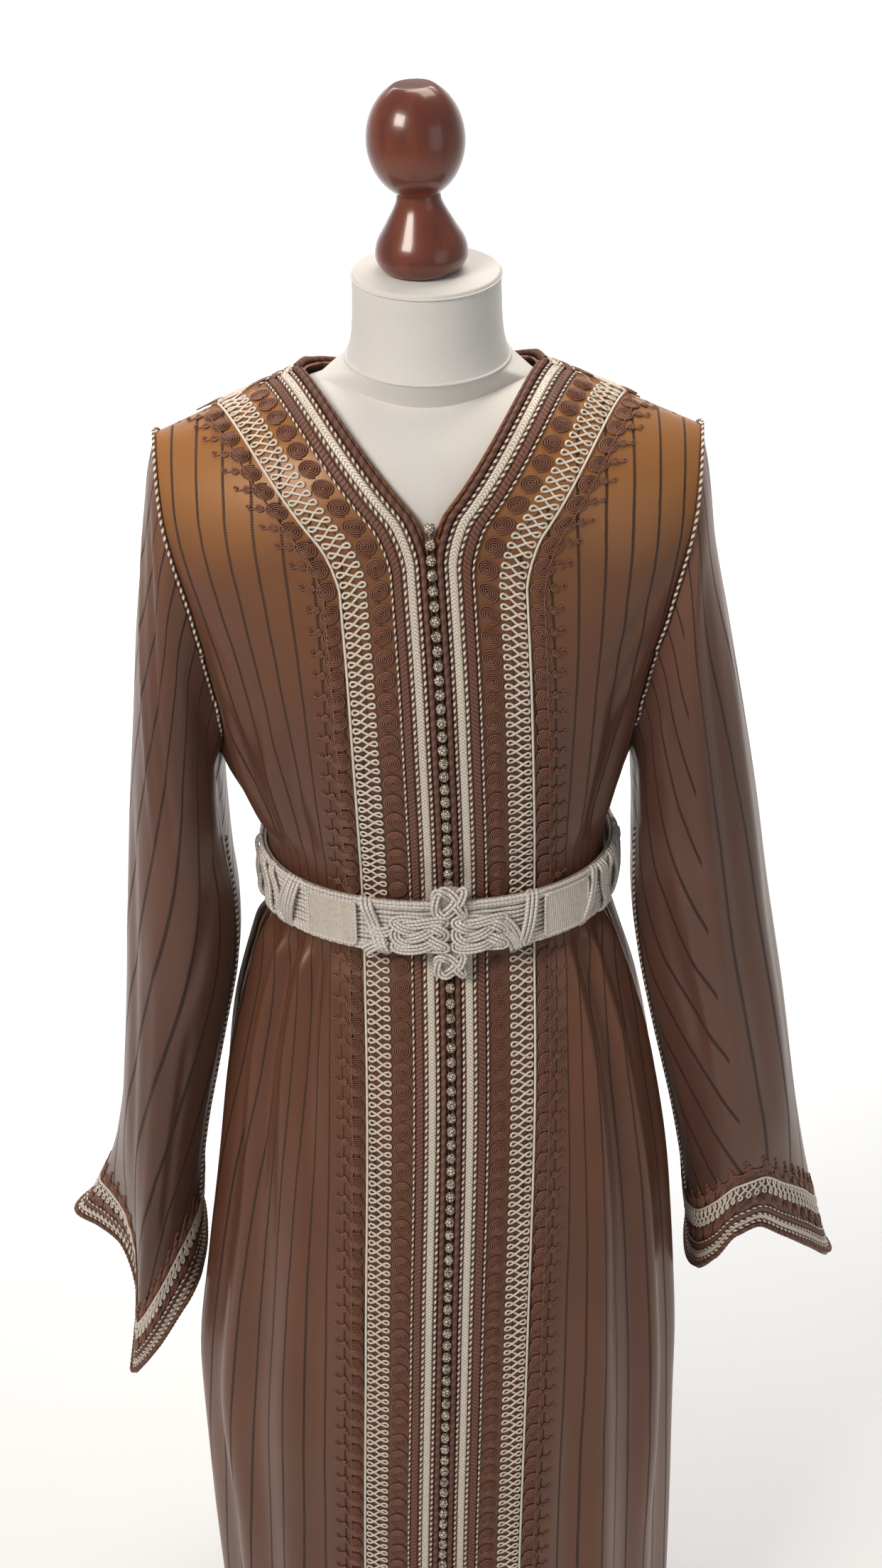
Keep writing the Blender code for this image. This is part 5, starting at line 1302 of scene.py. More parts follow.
def makeButtons():
    look = buttons
    count = int((look["top"] - look["bottom"]) / look["pitch"]) + 1
    levels = look["top"] - look["pitch"] * np.arange(count)
    centres, outward = centreLinePlaces(levels, look["lift"])
    upward = unit(np.gradient(centres, axis=0)) * -1.0
    across = np.cross(upward, outward)
    turn, lean = np.meshgrid(2.0 * math.pi * np.arange(look["sides"]) / look["sides"],
                             math.pi * (np.arange(look["rings"]) + 0.5) / look["rings"], indexing="ij")
    # knotted relief: crossing ridges round the ball
    ridges = np.abs(np.sin(2.0 * turn + 2.4 * lean)) + np.abs(np.sin(2.0 * turn - 2.4 * lean))
    size = look["diameter"] / 2.0 * (1.0 + look["knot"] * (ridges - 1.0))
    place = np.stack((np.sin(lean) * np.cos(turn), np.sin(lean) * np.sin(turn), 1.08 * np.cos(lean)), -1)
    place = place * size[..., None]
    random = np.random.default_rng(5)
    ring = place.transpose(1, 0, 2).reshape(-1, 3)
    ballQuads = gridFaces(look["rings"], look["sides"], True)
    column = np.arange(look["sides"])
    after = (column + 1) % look["sides"]
    last = (look["rings"] - 1) * look["sides"]
    topEnd = np.stack((column, np.full_like(column, len(ring)), after), -1)
    bottomEnd = np.stack((last + column, last + after, np.full_like(column, len(ring) + 1)), -1)
    points, quads, threes = [], [], []
    for number in range(count):
        spin = random.uniform(0.0, 2.0 * math.pi)
        a = np.cos(spin) * across[number] + np.sin(spin) * outward[number]
        b = -np.sin(spin) * across[number] + np.cos(spin) * outward[number]
        points.append(centres[number] + ring[:, :1] * a + ring[:, 1:2] * b + ring[:, 2:] * upward[number])
        points.append(centres[number] + np.outer((1.0, -1.0), upward[number]) * look["diameter"] * look["endShare"])
        start = number * (len(ring) + 2)
        quads.append(ballQuads + start)
        threes += [topEnd + start, bottomEnd + start]
    polygons = np.concatenate(quads).tolist() + np.concatenate(threes).tolist()
    mesh = bpy.data.meshes.new("knotted_buttons")
    mesh.from_pydata(np.concatenate(points).tolist(), [], polygons)
    mesh.shade_smooth()
    mesh.materials.append(knotThread)
    closeAndTurn(mesh)
    addPiece(linkPiece("knotted_buttons", mesh), "buttons", "button_row")
    levels = np.linspace(look["bottom"] - 0.004, look["top"] + 0.003, 340)
    parts = []
    for offset in (-look["cordGap"], look["cordGap"]):
        x = centreX(levels) + offset + look["cordSway"] * np.sin(levels * 2.0 * math.pi / look["pitch"])
        angle = angleAt(x, levels, False)
        points = bodyPoint(angle, levels, look["cord"] * 0.8)
        normals = surfaceNormal(angle, levels)
        parts.append((*cordParts(points[None], normals[None], look["cord"] * 0.8, 5), 0))
    addPiece(joinParts("button_cords", parts, [brownRope]), "buttons")


makeButtons()
print("buttons done")

# cords on the seams

seamCord = {"radius": 0.0014, "lift": 0.0008, "minOpening": 0.70, "twist": 0.0060}


def makeSeamCords(label, setup):
    _, outer, normals, step = sleeveForms[label]
    side, look = setup["side"], seamCord
    twist = {"lobes": 2, "twist": look["twist"], "relief": 0.28}
    rows = np.linspace(18, len(outer) - 15, 420)
    low = rows.astype(int)
    f = (rows - low)[:, None]
    path = outer[low, 0] * (1 - f) + outer[low + 1, 0] * f
    lean = unit(normals[low, 0] * (1 - f) + normals[low + 1, 0] * f)
    under = cordParts((path + lean * (look["radius"] + look["lift"]))[None], lean[None], look["radius"], 8, **twist)
    piece = joinParts("sleeve_seam_cord_" + label, [(*under, 0)], [dashes])
    addPiece(piece, "seam_cord", "sleeve_cord_" + label)
    step = np.linspace(-9.0, 9.0, 420)
    ring, away, panelNormal = armholeRing(side, step)
    seam = unit(sleeveRings(setup, step)[1] - ring)
    around = unit(np.gradient(ring, axis=0))
    seamNormal = unit(np.cross(around, seam))
    seamNormal *= np.sign((seamNormal * panelNormal).sum(-1, keepdims=True))
    seamNormal = unit(seamNormal - away * np.maximum(0.0, (seamNormal * away).sum(-1, keepdims=True)))
    outward = unit(seamNormal + panelNormal)
    opening = (outward * panelNormal).sum(-1)
    keep = opening > look["minOpening"]
    lift = (look["radius"] + look["lift"]) / np.maximum(opening, look["minOpening"])
    path = (ring + outward * lift[:, None])[keep]
    parts = [(*cordParts(path[None], outward[keep][None], look["radius"], 8, **twist), 0)]
    piece = joinParts("armhole_seam_cord_" + label, parts, [dashes])
    addPiece(piece, "seam_cord", "armhole_cord_" + label)


for label, setup in sleeves.items():
    makeSeamCords(label, setup)
print("seam cords done")

# belt

belt = {
    "halfWidth": 0.1560, "front": 0.1210, "back": 0.1240, "middle": -0.0035, "height": 0.050,
    "thickness": 0.0048, "level": 1.010, "droop": 0.006, "cords": 9, "cordRadius": 0.0020,
    "edgeRadius": 0.0023, "round": 400,
}
beltSilver = ropeMaterial("silverCord", {"first": (0.905, 0.865, 0.815), "second": (0.700, 0.625, 0.545),
                                         "dark": (0.330, 0.270, 0.205), "soft": 0.14, "pitch": 0.0034,
                                         "thread": 0.0010, "metal": 0.22, "rough": 0.36, "depth": 0.0004})
beltGround = ropeMaterial("beltGround", {"first": (0.420, 0.360, 0.280), "dark": (0.230, 0.180, 0.130),
                                         "pitch": 0.003, "thread": 0.0020, "metal": 0.10, "rough": 0.50})
plaqueCloth = ropeMaterial("plaqueWeave", {"first": (0.760, 0.700, 0.590), "dark": (0.400, 0.330, 0.245),
                                           "pitch": 0.003, "thread": 0.0020, "metal": 0.30, "rough": 0.42,
                                           "depth": 0.0006, "grain": 500.0})


def beltPoint(angle, height, lift):
    angle, height, lift = np.broadcast_arrays(np.asarray(angle, float), height, lift)
    power = 2.0 / cloth["roundness"]
    sine, cosine = np.sin(angle), np.cos(angle)
    depth = np.where(cosine > 0.0, belt["front"], belt["back"])
    x = np.sign(sine) * (belt["halfWidth"] + lift) * np.abs(sine) ** power
    y = -np.sign(cosine) * (depth + lift) * np.abs(cosine) ** power
    return np.stack((belt["middle"] + x, y, belt["level"] - belt["droop"] * cosine + height), -1)


def beltNormal(angle):
    around = beltPoint(angle + 0.003, 0.0, 0.0) - beltPoint(angle - 0.003, 0.0, 0.0)
    return unit(np.cross(around, np.array((0.0, 0.0, 1.0))))


beltKeys = np.linspace(-math.pi, math.pi, 1441)
beltLengths = np.concatenate(((0.0,), np.cumsum(np.linalg.norm(np.diff(beltPoint(beltKeys, 0.0, 0.0), axis=0),
                                                               axis=1))))


# angle at metres round the belt from the middle of the front, to the right
def beltAngle(along):
    zero = np.interp(0.0, beltKeys, beltLengths)
    return np.interp(np.mod(along + zero, beltLengths[-1]), beltLengths, beltKeys)


def beltAlong(x):
    share = np.minimum(1.0, np.abs(x - belt["middle"]) / belt["halfWidth"])
    angle = np.sign(x - belt["middle"]) * np.arcsin(share ** (cloth["roundness"] / 2.0))
    return np.interp(angle, beltKeys, beltLengths) - np.interp(0.0, beltKeys, beltLengths)


def beltCord(along, height, lift, radius, sides=6, closed=False, **twist):
    angle = beltAngle(along)
    points = beltPoint(angle, height, lift + radius)
    normals = beltNormal(angle)
    return cordParts(points[None], normals[None], radius, sides, closed, **twist)


def makeBeltBand():
    look = belt
    half = look["height"] / 2.0
    along = beltLengths[-1] * np.arange(look["round"]) / look["round"]
    parts = []
    # woven band behind the cords
    profile = ((half - 0.003, -0.0016), (-half + 0.003, -0.0016), (-half + 0.0012, -0.0030),
               (-half + 0.0012, -look["thickness"]), (half - 0.0012, -look["thickness"]), (half - 0.0012, -0.0030))
    steps = along[::4]
    angle = beltAngle(steps)[:, None]
    ring = beltPoint(angle, np.array([row[0] for row in profile]), np.array([row[1] for row in profile]))
    count = len(profile)
    faces = gridFaces(len(steps), count, True)
    last, column = (len(steps) - 1) * count, np.arange(count)
    seam = np.stack((last + column, last + (column + 1) % count, (column + 1) % count, column), -1)
    faces = np.concatenate((faces, seam))
    flat = np.stack((np.repeat(steps, count), np.tile(np.linspace(0, 1, count), len(steps))), -1)
    parts.append((ring.reshape(-1, 3), faces, flat[faces].reshape(-1, 2), 0))
    inner = half - 2.0 * look["edgeRadius"] - 0.0012
    twist = {"lobes": 2, "twist": 0.0050, "relief": 0.30}
    for number in range(look["cords"]):
        height = inner * (1.0 - 2.0 * (number + 0.5) / look["cords"])
        sway = 0.0003 * np.sin(along * 23.0 + number * 2.1)
        parts.append((*beltCord(along, height + sway, -0.0030, look["cordRadius"], 6, True, **twist), 1))
    # plaited edges: two cords of opposite twist side by side
    for sign in (1.0, -1.0):
        for place, turn in ((half - 0.0018, 1.0), (half - 0.0052, -1.0)):
            parts.append((*beltCord(along, sign * place, -0.0024, look["edgeRadius"], 6, True, lobes=2,
                                    twist=0.0060 * turn, relief=0.34), 1))
    piece = joinParts("belt_cords", parts, [beltGround, beltSilver])
    addPiece(piece, "belt", "belt_band")


makeBeltBand()

# interlaced knots: each strand follows a closed figure, over and under in turn
knots = {
    # along the belt, height, half width, half height, base lift, waves across and along, strands, spacing
    "knot_top": (0.0050, 0.0265, 0.0150, 0.0150, 0.0014, 2, 3, 2, 0.0034),
    "knot_bottom": (0.0050, -0.0355, 0.0138, 0.0122, 0.0014, 2, 3, 2, 0.0032),
    "knot_left": (-0.0195, -0.0050, 0.0245, 0.0182, 0.0009, 3, 2, 3, 0.0033),
    "knot_right": (0.0300, -0.0050, 0.0240, 0.0182, 0.0009, 3, 2, 3, 0.0033),
}


def knotCurve(halfWidth, halfHeight, waves, count=241):
    t = 2.0 * math.pi * np.arange(count - 1) / (count - 1)
    a, b = waves
    x = halfWidth * np.sin(a * t + math.pi / (2.0 if a % 2 else 4.0))
    z = halfHeight * np.sin(b * t)
    return t, x, z


# height of a strand along a closed flat curve, over and under in turn at its crossings
def overUnder(x, z, reach):
    count = len(x)
    points = np.stack((x, z), -1)
    ahead = np.roll(points, -1, axis=0)
    crossings = []
    for i in range(count):
        a, b = points[i], ahead[i]
        for j in range(i + 4, count - (4 if i < 4 else 0)):
            c, d = points[j], ahead[j]
            r, s = b - a, d - c
            cross = r[0] * s[1] - r[1] * s[0]
            if abs(cross) < 1e-14:
                continue
            t = ((c - a)[0] * s[1] - (c - a)[1] * s[0]) / cross
            v = ((c - a)[0] * r[1] - (c - a)[1] * r[0]) / cross
            if 0.0 <= t < 1.0 and 0.0 <= v < 1.0:
                crossings += [i + t, j + v]
    places = np.sort(np.array(crossings))
    if len(places) < 2:
        return np.zeros(count)
    signs = np.where(np.arange(len(places)) % 2 == 0, 1.0, -1.0)
    keys = np.concatenate((places[-1:] - count, places, places[:1] + count))
    values = np.concatenate((signs[-1:], signs, signs[:1]))
    index = np.clip(np.searchsorted(keys, np.arange(count), side="right") - 1, 0, len(keys) - 2)
    share = (np.arange(count) - keys[index]) / np.maximum(keys[index + 1] - keys[index], 1e-6)
    return reach * (values[index] + (values[index + 1] - values[index]) * smoothStep(share))


def strandsOf(x, z, count, spacing):
    tangent = unit(np.stack((np.roll(x, -1) - np.roll(x, 1), np.roll(z, -1) - np.roll(z, 1)), -1))
    for number in range(count):
        shift = (number - (count - 1) / 2.0) * spacing
        yield x - tangent[:, 1] * shift, z + tangent[:, 0] * shift


def makeKnots():
    for name, (x, height, halfWidth, halfHeight, base, a, b, count, spacing) in knots.items():
        _, flatX, flatZ = knotCurve(halfWidth - count * spacing / 2.4, halfHeight - count * spacing / 2.4, (a, b))
        lift = overUnder(flatX, flatZ, 0.0021)
        parts = []
        for strandX, strandZ in strandsOf(flatX, flatZ, count, spacing):
            along = beltAlong(x) + strandX
            parts.append((*beltCord(along, height + strandZ, base + 0.0019 + lift, spacing * 0.47, 7, True, lobes=2,
                                    twist=0.0048, relief=0.20), 0))
        # low pad under the strands
        turn = 2.0 * math.pi * np.arange(28) / 28
        rings = []
        for share, rise in ((0.96, base - 0.0004), (0.96, base + 0.0012), (0.55, base + 0.0022),
                            (0.12, base + 0.0024)):
            along = beltAlong(x) + halfWidth * share * np.sign(np.cos(turn)) * np.abs(np.cos(turn)) ** 0.8
            up = height + halfHeight * share * np.sign(np.sin(turn)) * np.abs(np.sin(turn)) ** 0.8
            rings.append(beltPoint(beltAngle(along), up, rise))
        pad = np.array(rings)
        faces = gridFaces(4, 28, True)
        flat = np.stack((np.tile(turn, 4) * 0.01, np.repeat(np.arange(4) / 3.0, 28)), -1)
        parts.append((pad.reshape(-1, 3), faces, flat[faces].reshape(-1, 2), 1))
        addPiece(joinParts("interlaced_" + name, parts, [beltSilver, beltGround]), "belt", name)


makeKnots()


def makePlaques():
    rows = {"plaque_left": (-0.1125, -0.0725), "plaque_right": (0.0850, 0.1220)}
    half, base, thickness = 0.0203, 0.0012, 0.0018
    for name, (startX, endX) in rows.items():
        start, end = sorted((beltAlong(startX), beltAlong(endX)))
        along, up = np.meshgrid(np.linspace(start, end, 41), np.linspace(-half, half, 41), indexing="ij")
        # herringbone on one plaque, pebbled weave on the other
        if name == "plaque_right":
            relief = 0.0004 * np.abs(np.mod((along + np.abs(np.mod(up, 0.0084) - 0.0042)) / 0.0030, 1.0) * 2.0 - 1.0)
        else:
            relief = 0.0004 * (np.sin(along * 2600.0) * np.sin(up * 2600.0))
        outer = beltPoint(beltAngle(along), up, base + thickness + relief)
        inner = beltPoint(beltAngle(along), up, base)
        piece = clothWall("woven_" + name, outer, inner, along, up * 20.0, False, plaqueCloth)
        addPiece(piece, "belt", name)
        corner = 0.004
        path = []
        for cx, cy, first in ((end - corner, half - corner, 0.0), (start + corner, half - corner, 90.0),
                              (start + corner, -half + corner, 180.0), (end - corner, -half + corner, 270.0)):
            for turn in np.radians(first + np.linspace(0.0, 90.0, 7)):
                path.append((cx + corner * np.cos(turn), cy + corner * np.sin(turn)))
        path = np.array(path)
        closed = np.concatenate((path, path[:1]))
        lengths = np.concatenate(((0.0,), np.cumsum(np.linalg.norm(np.diff(closed, axis=0), axis=1))))
        places = lengths[-1] * np.arange(150) / 150
        along, up = (np.interp(places, lengths, closed[:, i]) for i in (0, 1))
        parts = [(*beltCord(along, up, base + 0.0006, 0.0013, 6, True, lobes=2, twist=0.0042, relief=0.25), 0)]
        addPiece(joinParts("edge_" + name, parts, [beltSilver]), "belt")


makePlaques()

# ribbons of three cords laid across the belt: angles in degrees at the top and the bottom
wraps = {
    "wrap_left_inner": (-21.5, -15.6, 3), "wrap_left_outer": (-49.0, -55.0, 3), "wrap_left_side": (-72.0, -66.0, 3),
    "wrap_right_inner": (28.6, 25.0, 3), "wrap_right_outer": (61.0, 67.0, 3), "wrap_right_side": (83.0, 77.0, 3),
}
loops = ((-52.0, -60.0, 2), (-64.0, -57.0, 2), (-78.0, -84.0, 2), (-86.0, -79.0, 2), (57.0, 50.5, 2),
         (70.0, 63.0, 2), (74.0, 80.0, 2), (88.0, 94.0, 2), (93.0, 87.0, 2))


def wrapParts(top, bottom, count, order):
    half = belt["height"] / 2.0
    spacing = 0.0039
    start, end = np.interp(np.radians((top, bottom)), beltKeys, beltLengths) - np.interp(0.0, beltKeys, beltLengths)
    t = np.linspace(0.0, 1.0, 46)
    parts = []
    for number in range(count):
        shift = (number - (count - 1) / 2.0) * spacing
        along = start + (end - start) * smoothStep(t) + shift
        up = (half + 0.0006) * np.cos(math.pi * t)
        edge = np.abs(np.cos(math.pi * t)) ** 8
        wave = 0.0010 * np.sin(3.0 * math.pi * t + order * math.pi)
        lift = 0.0007 + (0.0011 + wave) * (1.0 - edge) - 0.0034 * edge
        twist = {"lobes": 2, "twist": 0.0050, "relief": 0.22 if number == 1 else 0.12}
        parts.append((*beltCord(along, up, lift, 0.0020, 6, False, **twist), 0))
    return parts


def makeWraps():
    for number, (name, row) in enumerate(wraps.items()):
        piece = joinParts("ribbon_" + name, wrapParts(*row, number % 2), [beltSilver])
        addPiece(piece, "belt", name)
    parts = []
    for number, row in enumerate(loops):
        parts += wrapParts(*row, (number + 1) % 2)
    addPiece(joinParts("belt_side_loops", parts, [beltSilver]), "belt")


makeWraps()

# short ribbons that run out of the knots: place along the belt and height, three points each
ties = (
    ((-0.0400, -0.0020), (-0.0520, -0.0080), (-0.0590, 0.0000)),
    ((-0.0440, -0.0120), (-0.0540, -0.0170), (-0.0630, -0.0255)),
    ((0.0500, 0.0060), (0.0610, 0.0020), (0.0690, -0.0255)),
    ((0.0520, -0.0060), (0.0600, -0.0120), (0.0640, -0.0255)),
)


def makeTies():
    parts = []
    t = np.linspace(0.0, 1.0, 26)
    for first, middle, last in ties:
        (ax, az), (bx, bz), (cx, cz) = first, middle, last
        along = ax * (1 - t) ** 2 + 2 * bx * t * (1 - t) + cx * t ** 2
        up = az * (1 - t) ** 2 + 2 * bz * t * (1 - t) + cz * t ** 2
        for number, (strandX, strandZ) in enumerate(openStrands(along, up, 3, 0.0034)):
            lift = 0.0006 + 0.0016 * np.sin(math.pi * np.clip(t, 0.0, 0.9))
            parts.append((*beltCord(strandX, strandZ, lift, 0.0018, 6, False, lobes=2, twist=0.0048,
                                    relief=0.22 if number == 1 else 0.10), 0))
    addPiece(joinParts("belt_ties", parts, [beltSilver]), "belt")


def openStrands(x, z, count, spacing):
    tangent = unit(np.stack((np.gradient(x), np.gradient(z)), -1))
    for number in range(count):
        shift = (number - (count - 1) / 2.0) * spacing
        yield x - tangent[:, 1] * shift, z + tangent[:, 0] * shift


makeTies()
print("belt done")

# dress form and stand

form = {
    "clearance": 0.0052, "backClearance": 0.0076, "trimStart": 1.130, "trimEnd": 1.230, "seamDrop": 0.004,
    "ringDrop": 0.006, "plateInset": 0.012, "plateShare": 0.995, "sidePoints": 33,
    "neckTilt": math.radians(6.5), "neckPlace": (-0.005, -0.001, 1.4610), "neckRadius": 0.0656,
    "ringTurn": 84.0,
    "finialLean": math.radians(-2.0), "finialShift": -0.003, "finialSeat": 0.0014,
}
formSections = (
    # level, half width, front depth, back depth
    (0.800, 0.150, 0.092, 0.112), (0.860, 0.155, 0.096, 0.116), (0.930, 0.142, 0.090, 0.106),
    (1.000, 0.122, 0.080, 0.090), (1.060, 0.122, 0.082, 0.088), (1.120, 0.140, 0.096, 0.096),
    (1.200, 0.172, 0.112, 0.104), (1.280, 0.200, 0.114, 0.106),
)
formLevels = (0.800, 0.840, 0.890, 0.945, 1.000, 1.060, 1.120, 1.175, 1.225, 1.275, 1.325, 1.370, 1.405, 1.435)
shoulderRings = (
    # half width, level in the middle of the front, level in the middle of the back
    (0.178, 1.446, 1.440), (0.145, 1.453, 1.443), (0.112, 1.456, 1.446), (0.090, 1.459, 1.450),
)
neckProfile = ((0.0560, 0.0690), (0.0571, 0.0685), (0.0577, 0.0672), (0.0580, 0.0640), (0.0582, 0.0520),
               (0.0590, 0.0300), (0.0600, 0.0200), (0.0612, 0.0130), (0.0630, 0.0060), (0.0650, 0.0000))
finialBase = ((0.0290, 0.0000), (0.0312, 0.0010), (0.0325, 0.0030), (0.0342, 0.0055), (0.0354, 0.0085),
              (0.0359, 0.0112), (0.0359, 0.0140), (0.0354, 0.0172), (0.0345, 0.0205), (0.0325, 0.0250),
              (0.0300, 0.0290), (0.0267, 0.0345), (0.0234, 0.0405), (0.0207, 0.0450), (0.0186, 0.0495),
              (0.0173, 0.0530), (0.0166, 0.0560))
ball = {"radius": 0.0375, "halfHeight": 0.0440, "height": 0.0980, "facet": 0.0155}
footProfile = ((0.0160, 0.0420), (0.0230, 0.0416), (0.0288, 0.0405), (0.0312, 0.0380), (0.0322, 0.0330),
               (0.0336, 0.0290), (0.0370, 0.0276), (0.0900, 0.0230), (0.1780, 0.0183), (0.1850, 0.0170),
               (0.1890, 0.0145), (0.1900, 0.0115), (0.1896, 0.0050), (0.1888, 0.0000))


def formMiddle(level):
    share = (level - formLevels[0]) / (form["trimEnd"] - formLevels[0])
    return cloth["shoulderMiddle"] * smoothStep(share)


def plainBody(angle, level, lift):
    rise = lift + foldHeight(angle, level)
    return plainPoint(angle, level) + surfaceNormal(angle, level) * rise[..., None]


def formPoint(x, level, isBack):
    x, level = np.broadcast_arrays(x, level)
    inset = form["backClearance"] if isBack else form["clearance"]
    share = smoothStep((level - form["trimStart"]) / (form["trimEnd"] - form["trimStart"]))
    under = np.minimum(level, shoulderLevel(x, isBack) - form["seamDrop"])
    cover = plainBody(angleAt(x, under, isBack), under, np.full_like(under, -inset))
    halfWidth, front, behind = (tableValue(formSections, i, level) for i in range(1, 4))
    across = np.minimum(1.0, np.abs(x - formMiddle(level)) / halfWidth)
    power = cloth["roundness"]
    depth = (behind if isBack else front) * (1.0 - across ** power) ** (1.0 / power)
    own = np.stack((x, depth if isBack else -depth, level), -1)
    return own + (cover - own) * share[..., None]


def formRing(halfWidth, frontLevel, backLevel):
    count = form["sidePoints"]
    ring = []
    for isBack, level in ((False, frontLevel), (True, backLevel)):
        turn = np.radians(np.linspace(-90.0, 90.0, count))
        x = formMiddle(level) + halfWidth * np.sin(turn) * (-1.0 if isBack else 1.0)
        edge = shoulderLevel(np.array(cloth["shoulderMiddle"] + halfWidth), isBack) - form["ringDrop"]
        if level <= formLevels[-1]:
            edge = min(level, float(edge))
        ring.append(formPoint(x, level + (edge - level) * np.sin(turn) ** 2, isBack))
    return np.concatenate(ring)


def plateDistance(level):
    own = tableValue(formSections, 1, level) * form["plateShare"]
    plate = tableValue(armhole, 1, level) - form["plateInset"]
    share = smoothStep((level - form["trimStart"]) / (form["trimEnd"] - form["trimStart"]))
    return float(own + (plate - own) * share)


def jerseyMaterial():
    look = {"base": (0.740, 0.720, 0.680), "shade": (0.660, 0.640, 0.595), "rough": 0.72}
    material, nodes, links, shader = newMaterial("whiteJersey")
    place = nodes.new("ShaderNodeTexCoord").outputs["Object"]
    cloudy = ramp(nodes, links, noiseNode(nodes, links, place, 9.0, 3.0), 0.35, 0.75)
    links.new(mixColor(nodes, links, cloudy, look["base"], look["shade"]), shader.inputs["Base Color"])
    wave = nodes.new("ShaderNodeTexWave")
    wave.inputs["Scale"].default_value = 320.0
    wave.inputs["Distortion"].default_value = 1.5
    wave.bands_direction = "X"
    links.new(place, wave.inputs["Vector"])
    knit = mathNode(nodes, links, "ADD", wave.outputs["Fac"], noiseNode(nodes, links, place, 700.0, 2.0))
    bumpNode(nodes, links, shader, knit, 0.30, 0.0003)
    shader.inputs["Roughness"].default_value = look["rough"]
    shader.inputs["Sheen Weight"].default_value = 0.35
    return material


def woodMaterial():
    look = {"light": (0.175, 0.042, 0.020), "dark": (0.120, 0.028, 0.014), "rough": 0.26, "coat": 0.45}
    material, nodes, links, shader = newMaterial("mahogany")
    place = nodes.new("ShaderNodeTexCoord").outputs["Object"]
    stretch = nodes.new("ShaderNodeMapping")
    stretch.inputs["Scale"].default_value = (16.0, 16.0, 2.2)
    links.new(place, stretch.inputs["Vector"])
    bands = nodes.new("ShaderNodeTexWave")
    bands.wave_type = "RINGS"
    bands.inputs["Scale"].default_value = 2.1
    bands.inputs["Distortion"].default_value = 7.0
    bands.inputs["Detail"].default_value = 4.0
    links.new(stretch.outputs["Vector"], bands.inputs["Vector"])
    pores = nodes.new("ShaderNodeMapping")
    pores.inputs["Scale"].default_value = (900.0, 900.0, 60.0)
    links.new(place, pores.inputs["Vector"])
    fine = noiseNode(nodes, links, pores.outputs["Vector"], 1.0, 3.0)
    grain = mathNode(nodes, links, "ADD", mathNode(nodes, links, "MULTIPLY", bands.outputs["Fac"], 0.7),
                     mathNode(nodes, links, "MULTIPLY", fine, 0.45))
    links.new(mixColor(nodes, links, ramp(nodes, links, grain, 0.15, 0.95), look["dark"], look["light"]),
              shader.inputs["Base Color"])
    shader.inputs["Roughness"].default_value = look["rough"]
    shader.inputs["Coat Weight"].default_value = look["coat"]
    shader.inputs["Coat Roughness"].default_value = 0.08
    bumpNode(nodes, links, shader, fine, 0.10, 0.0003)
    return material


jersey, wood = jerseyMaterial(), woodMaterial()


# piece made of rings, with a flat cap at both ends
def ringPiece(name, grid, material):
    count, sides = grid.shape[:2]
    faces = gridFaces(count, sides, True).tolist()
    faces.append(list(range(sides))[::-1])
    faces.append(list(range((count - 1) * sides, count * sides)))
    mesh = bpy.data.meshes.new(name)
    mesh.from_pydata(grid.reshape(-1, 3).tolist(), [], faces)
    closeAndTurn(mesh)
    mesh.shade_smooth()
    mesh.set_sharp_from_angle(angle=math.radians(50.0))
    mesh.materials.append(material)
    return linkPiece(name, mesh)


def turnedPiece(name, profile, material, place=(0.0, 0.0, 0.0), tilt=None, sides=96):
    profile = np.array(profile, float)
    turn = 2.0 * math.pi * np.arange(sides) / sides
    radius, height = profile[:, :1], np.broadcast_to(profile[:, 1:], (len(profile), sides))
    grid = np.stack((radius * np.cos(turn), radius * np.sin(turn), height), -1)
    if tilt is not None:
        grid = grid @ np.array(tilt.to_3x3()).T
    return ringPiece(name, grid + np.array(place), material)


